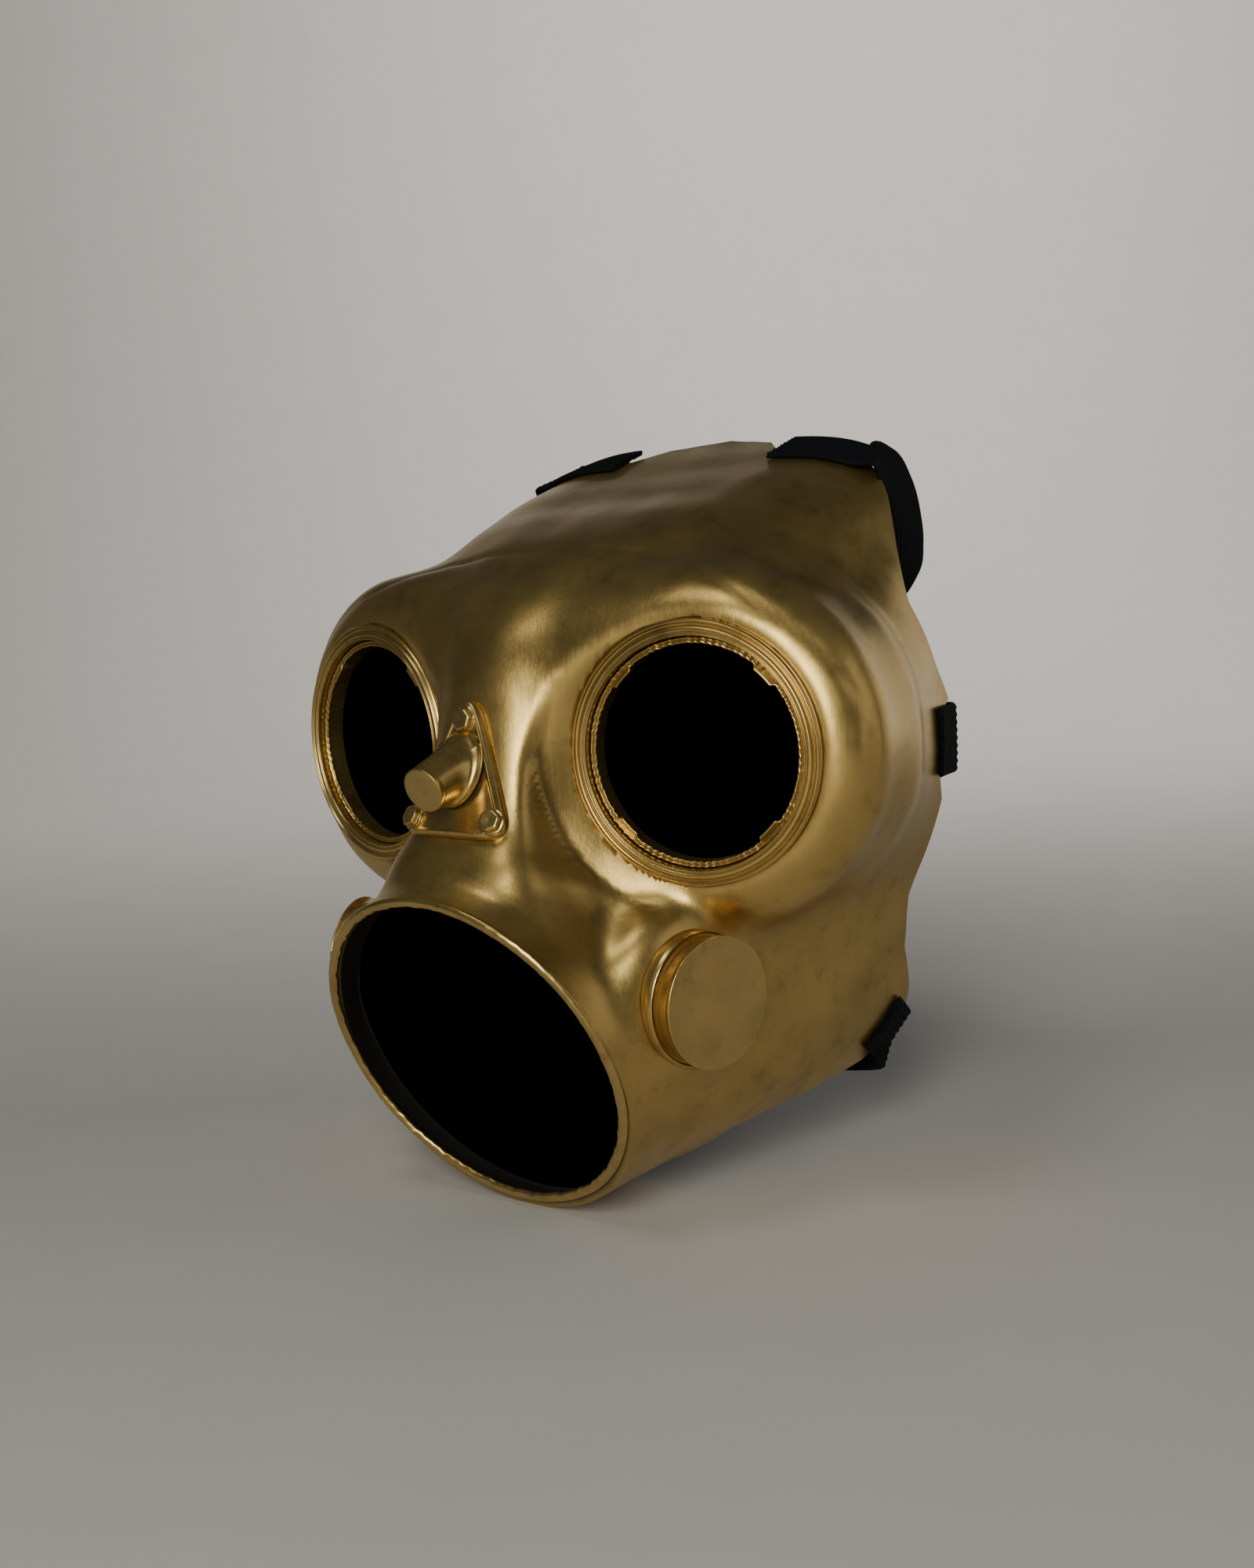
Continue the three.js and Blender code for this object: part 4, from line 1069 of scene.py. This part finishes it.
class MASK_OT_bands(bpy.types.Operator):
    """Build the three elastic bands, each in one piece with its two laps"""
    bl_idname = "mask.bands"
    bl_label = "Elastic bands"

    def execute(self, context):
        black = material("ribbed_elastic")
        top = both_sides([(27.5, 88, 77.6), (41, 88, 76.2), (53, 89, 74.6), (57.6, 93, 71), (59.4, 97, 64),
                          (60.1, 100, 55.6), (60.6, 100, 48), (59, 100, 40), (50, 100, 30), (29, 100, 20.4),
                          (12, 100, 16.6), (0, 100, 15.6)])
        ear = both_sides([(82.5, 74.6, -4.9), (81.4, 81, -4.9), (80.4, 87, -4.9), (77, 90.3, -5),
                          (66, 93, -5.6), (40, 99, -7), (15, 102.4, -7.8), (0, 102.9, -8)])
        jaw = both_sides([(64, 72.5, -84), (62.6, 77.5, -87), (60.8, 82.5, -90), (57, 85, -92),
                          (46, 87.4, -94.3), (28, 90.7, -97), (10, 92.4, -98.6), (0, 92.7, -98.8)])
        for name, path, across, lap, start, end in (
                ("top", top, (0, 1, 0), 27, (0, 0.1, 0.072), (0, 0.1, 0.062)),
                ("ear", ear, (0, 0, 1), 11, (0, 0.0865, -0.005), (0, 0.093, -0.005)),
                ("jaw", jaw, (0, 0.53, 0.75), 12, (0, 0.083, -0.09), (0, 0.0885, -0.0945))):
            piece, length = build_band(f"{name}_elastic", path, array(*across), lap, 0.5)
            fit_out(piece, None, "black_elastic", black, f"{name}_strap", f"left_{name}_strap_end",
                    f"right_{name}_strap_end")
            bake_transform(piece)
            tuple(start)
            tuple(end)
        return {"FINISHED"}


CAMERA_PLACE = (0.30587, -0.35692, 0.04914)
CAMERA_RIGHT = (0.79789, 0.60093, -0.04750)
CAMERA_FORWARD = (-0.60156, 0.78871, -0.12673)

LIGHTS = (
    # name, azimuth and elevation in degrees, distance in metres, size in metres, share of the power, tint
    ("key", 27, 21, 0.95, (0.30, 0.54), 1.05, (1.0, 1.0, 0.90)),
    ("high", -2, 64, 0.95, (0.26, 0.20), 0.20, (1.0, 1.0, 0.92)),
    ("side", 106, 18, 1.25, (0.8, 0.9), 0.25, (1.0, 0.98, 0.92)),
    ("rear", 160, 4, 1.35, (0.9, 0.9), 0.36, (1.0, 0.98, 0.92)),
)


def compass(azimuth, elevation):
    """The direction at an azimuth from straight ahead towards the wearer's left, and at an elevation."""
    a, e = math.radians(azimuth), math.radians(elevation)
    return array(math.sin(a) * math.cos(e), -math.cos(a) * math.cos(e), math.sin(e))


def add_area_light(name, place, aim, size, power, tint=(1, 1, 1)):
    data = bpy.data.lights.new(name, "AREA")
    data.shape = "RECTANGLE"
    data.size, data.size_y = size
    data.energy = power
    data.color = tint
    light = bpy.data.objects.new(name, data)
    light.location = place
    light.rotation_euler = (Vector(aim) - Vector(place)).to_track_quat("-Z", "Y").to_euler()
    bpy.context.scene.collection.objects.link(light)


class MASK_OT_stage(bpy.types.Operator):
    """Set up the floor, the lights and the camera"""
    bl_idname = "mask.stage"
    bl_label = "Stage"

    def execute(self, context):
        forward, right = Vector(CAMERA_FORWARD).normalized(), Vector(CAMERA_RIGHT).normalized()
        up = right.cross(forward).normalized()
        right = forward.cross(up)
        data = bpy.data.cameras.new("camera")
        data.sensor_width = 36
        data.lens = 41.4
        camera = bpy.data.objects.new("camera", data)
        turn = Matrix((right, up, -forward)).transposed().to_4x4()
        camera.matrix_world = Matrix.Translation(CAMERA_PLACE) @ turn
        bpy.context.scene.collection.objects.link(camera)
        bpy.context.scene.camera = camera
        self.add_backdrop()
        centre = array(0, 0.02, -0.02)
        power = settings().key_light
        for name, azimuth, elevation, distance, size, share, tint in LIGHTS:
            place = centre + distance * compass(azimuth, elevation)
            add_area_light(name, place, centre, size, power * share, tint)
        add_area_light("wall", (-0.15, 0.75, 0.95), (-1.1, 1.75, 0.25), (1.2, 0.5), power * 3.6,
                       (1, 0.97, 0.93))
        world = bpy.data.worlds.new("studio")
        world.use_nodes = True
        background = world.node_tree.nodes["Background"]
        background.inputs["Color"].default_value = (0.85, 0.93, 1.0, 1)
        background.inputs["Strength"].default_value = 0.05
        bpy.context.scene.world = world
        return {"FINISHED"}

    def add_backdrop(self):
        """A pale sheet that lies under the mask and sweeps up behind it, along the camera's view."""
        low = CAD_BOX[0][2]
        away = unit(array(CAMERA_FORWARD[0], CAMERA_FORWARD[1]))
        side = array(away[1], -away[0])
        along = np.linspace(-2.2, 2.6, 97)
        bend = 0.8
        past = (along - 1.0).clip(0, bend)
        rise = np.where(along > 1.0, bend - np.sqrt(np.maximum(bend ** 2 - past ** 2, 0)), 0)
        rise = np.minimum(rise + np.maximum(along - 1.0 - bend, 0) * 3, 0.95)
        flat = np.minimum(along, 1.0 + bend)
        across = np.linspace(-3, 3, 13)
        x = away[0] * flat[:, None] + side[0] * across[None, :]
        y = away[1] * flat[:, None] + side[1] * across[None, :]
        z = np.broadcast_to(low + rise[:, None], x.shape)
        points = np.stack([x, y, z], -1).reshape(-1, 3) / MM
        floor = make_mesh("floor", points, grid_faces(97, 13)[:, ::-1])
        floor.data.materials.append(plain("pale_paper", (0.66, 0.635, 0.605), 0.85))
        floor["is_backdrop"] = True


OPERATORS = (MASK_OT_stage, MASK_OT_shell, MASK_OT_eye_ports, MASK_OT_front_opening, MASK_OT_nose,
             MASK_OT_cheek_caps, MASK_OT_bands)


class MASK_PT_panel(bpy.types.Panel):
    """Lists the mask's pieces and its settings"""
    bl_idname = "MASK_PT_panel"
    bl_label = "Costume mask"
    bl_space_type = "VIEW_3D"
    bl_region_type = "UI"
    bl_category = "Mask"

    def draw(self, context):
        for operator in OPERATORS:
            self.layout.operator(operator.bl_idname)
        for key in MaskSettings.__annotations__:
            self.layout.prop(context.scene.mask_settings, key)


def register():
    for cls in (MaskSettings, *OPERATORS, MASK_PT_panel):
        bpy.utils.register_class(cls)
    bpy.types.Scene.mask_settings = PointerProperty(type=MaskSettings)


def unregister():
    del bpy.types.Scene.mask_settings
    for cls in reversed((MaskSettings, *OPERATORS, MASK_PT_panel)):
        bpy.utils.unregister_class(cls)


def main():
    register()
    for operator in OPERATORS:
        group, name = operator.bl_idname.split(".")
        getattr(getattr(bpy.ops, group), name)()
    plain_box = lambda box: [list(corner) for corner in box]
    {"cad": plain_box(CAD_BOX), "visual": plain_box(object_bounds())}


if __name__ == "__main__":
    main()
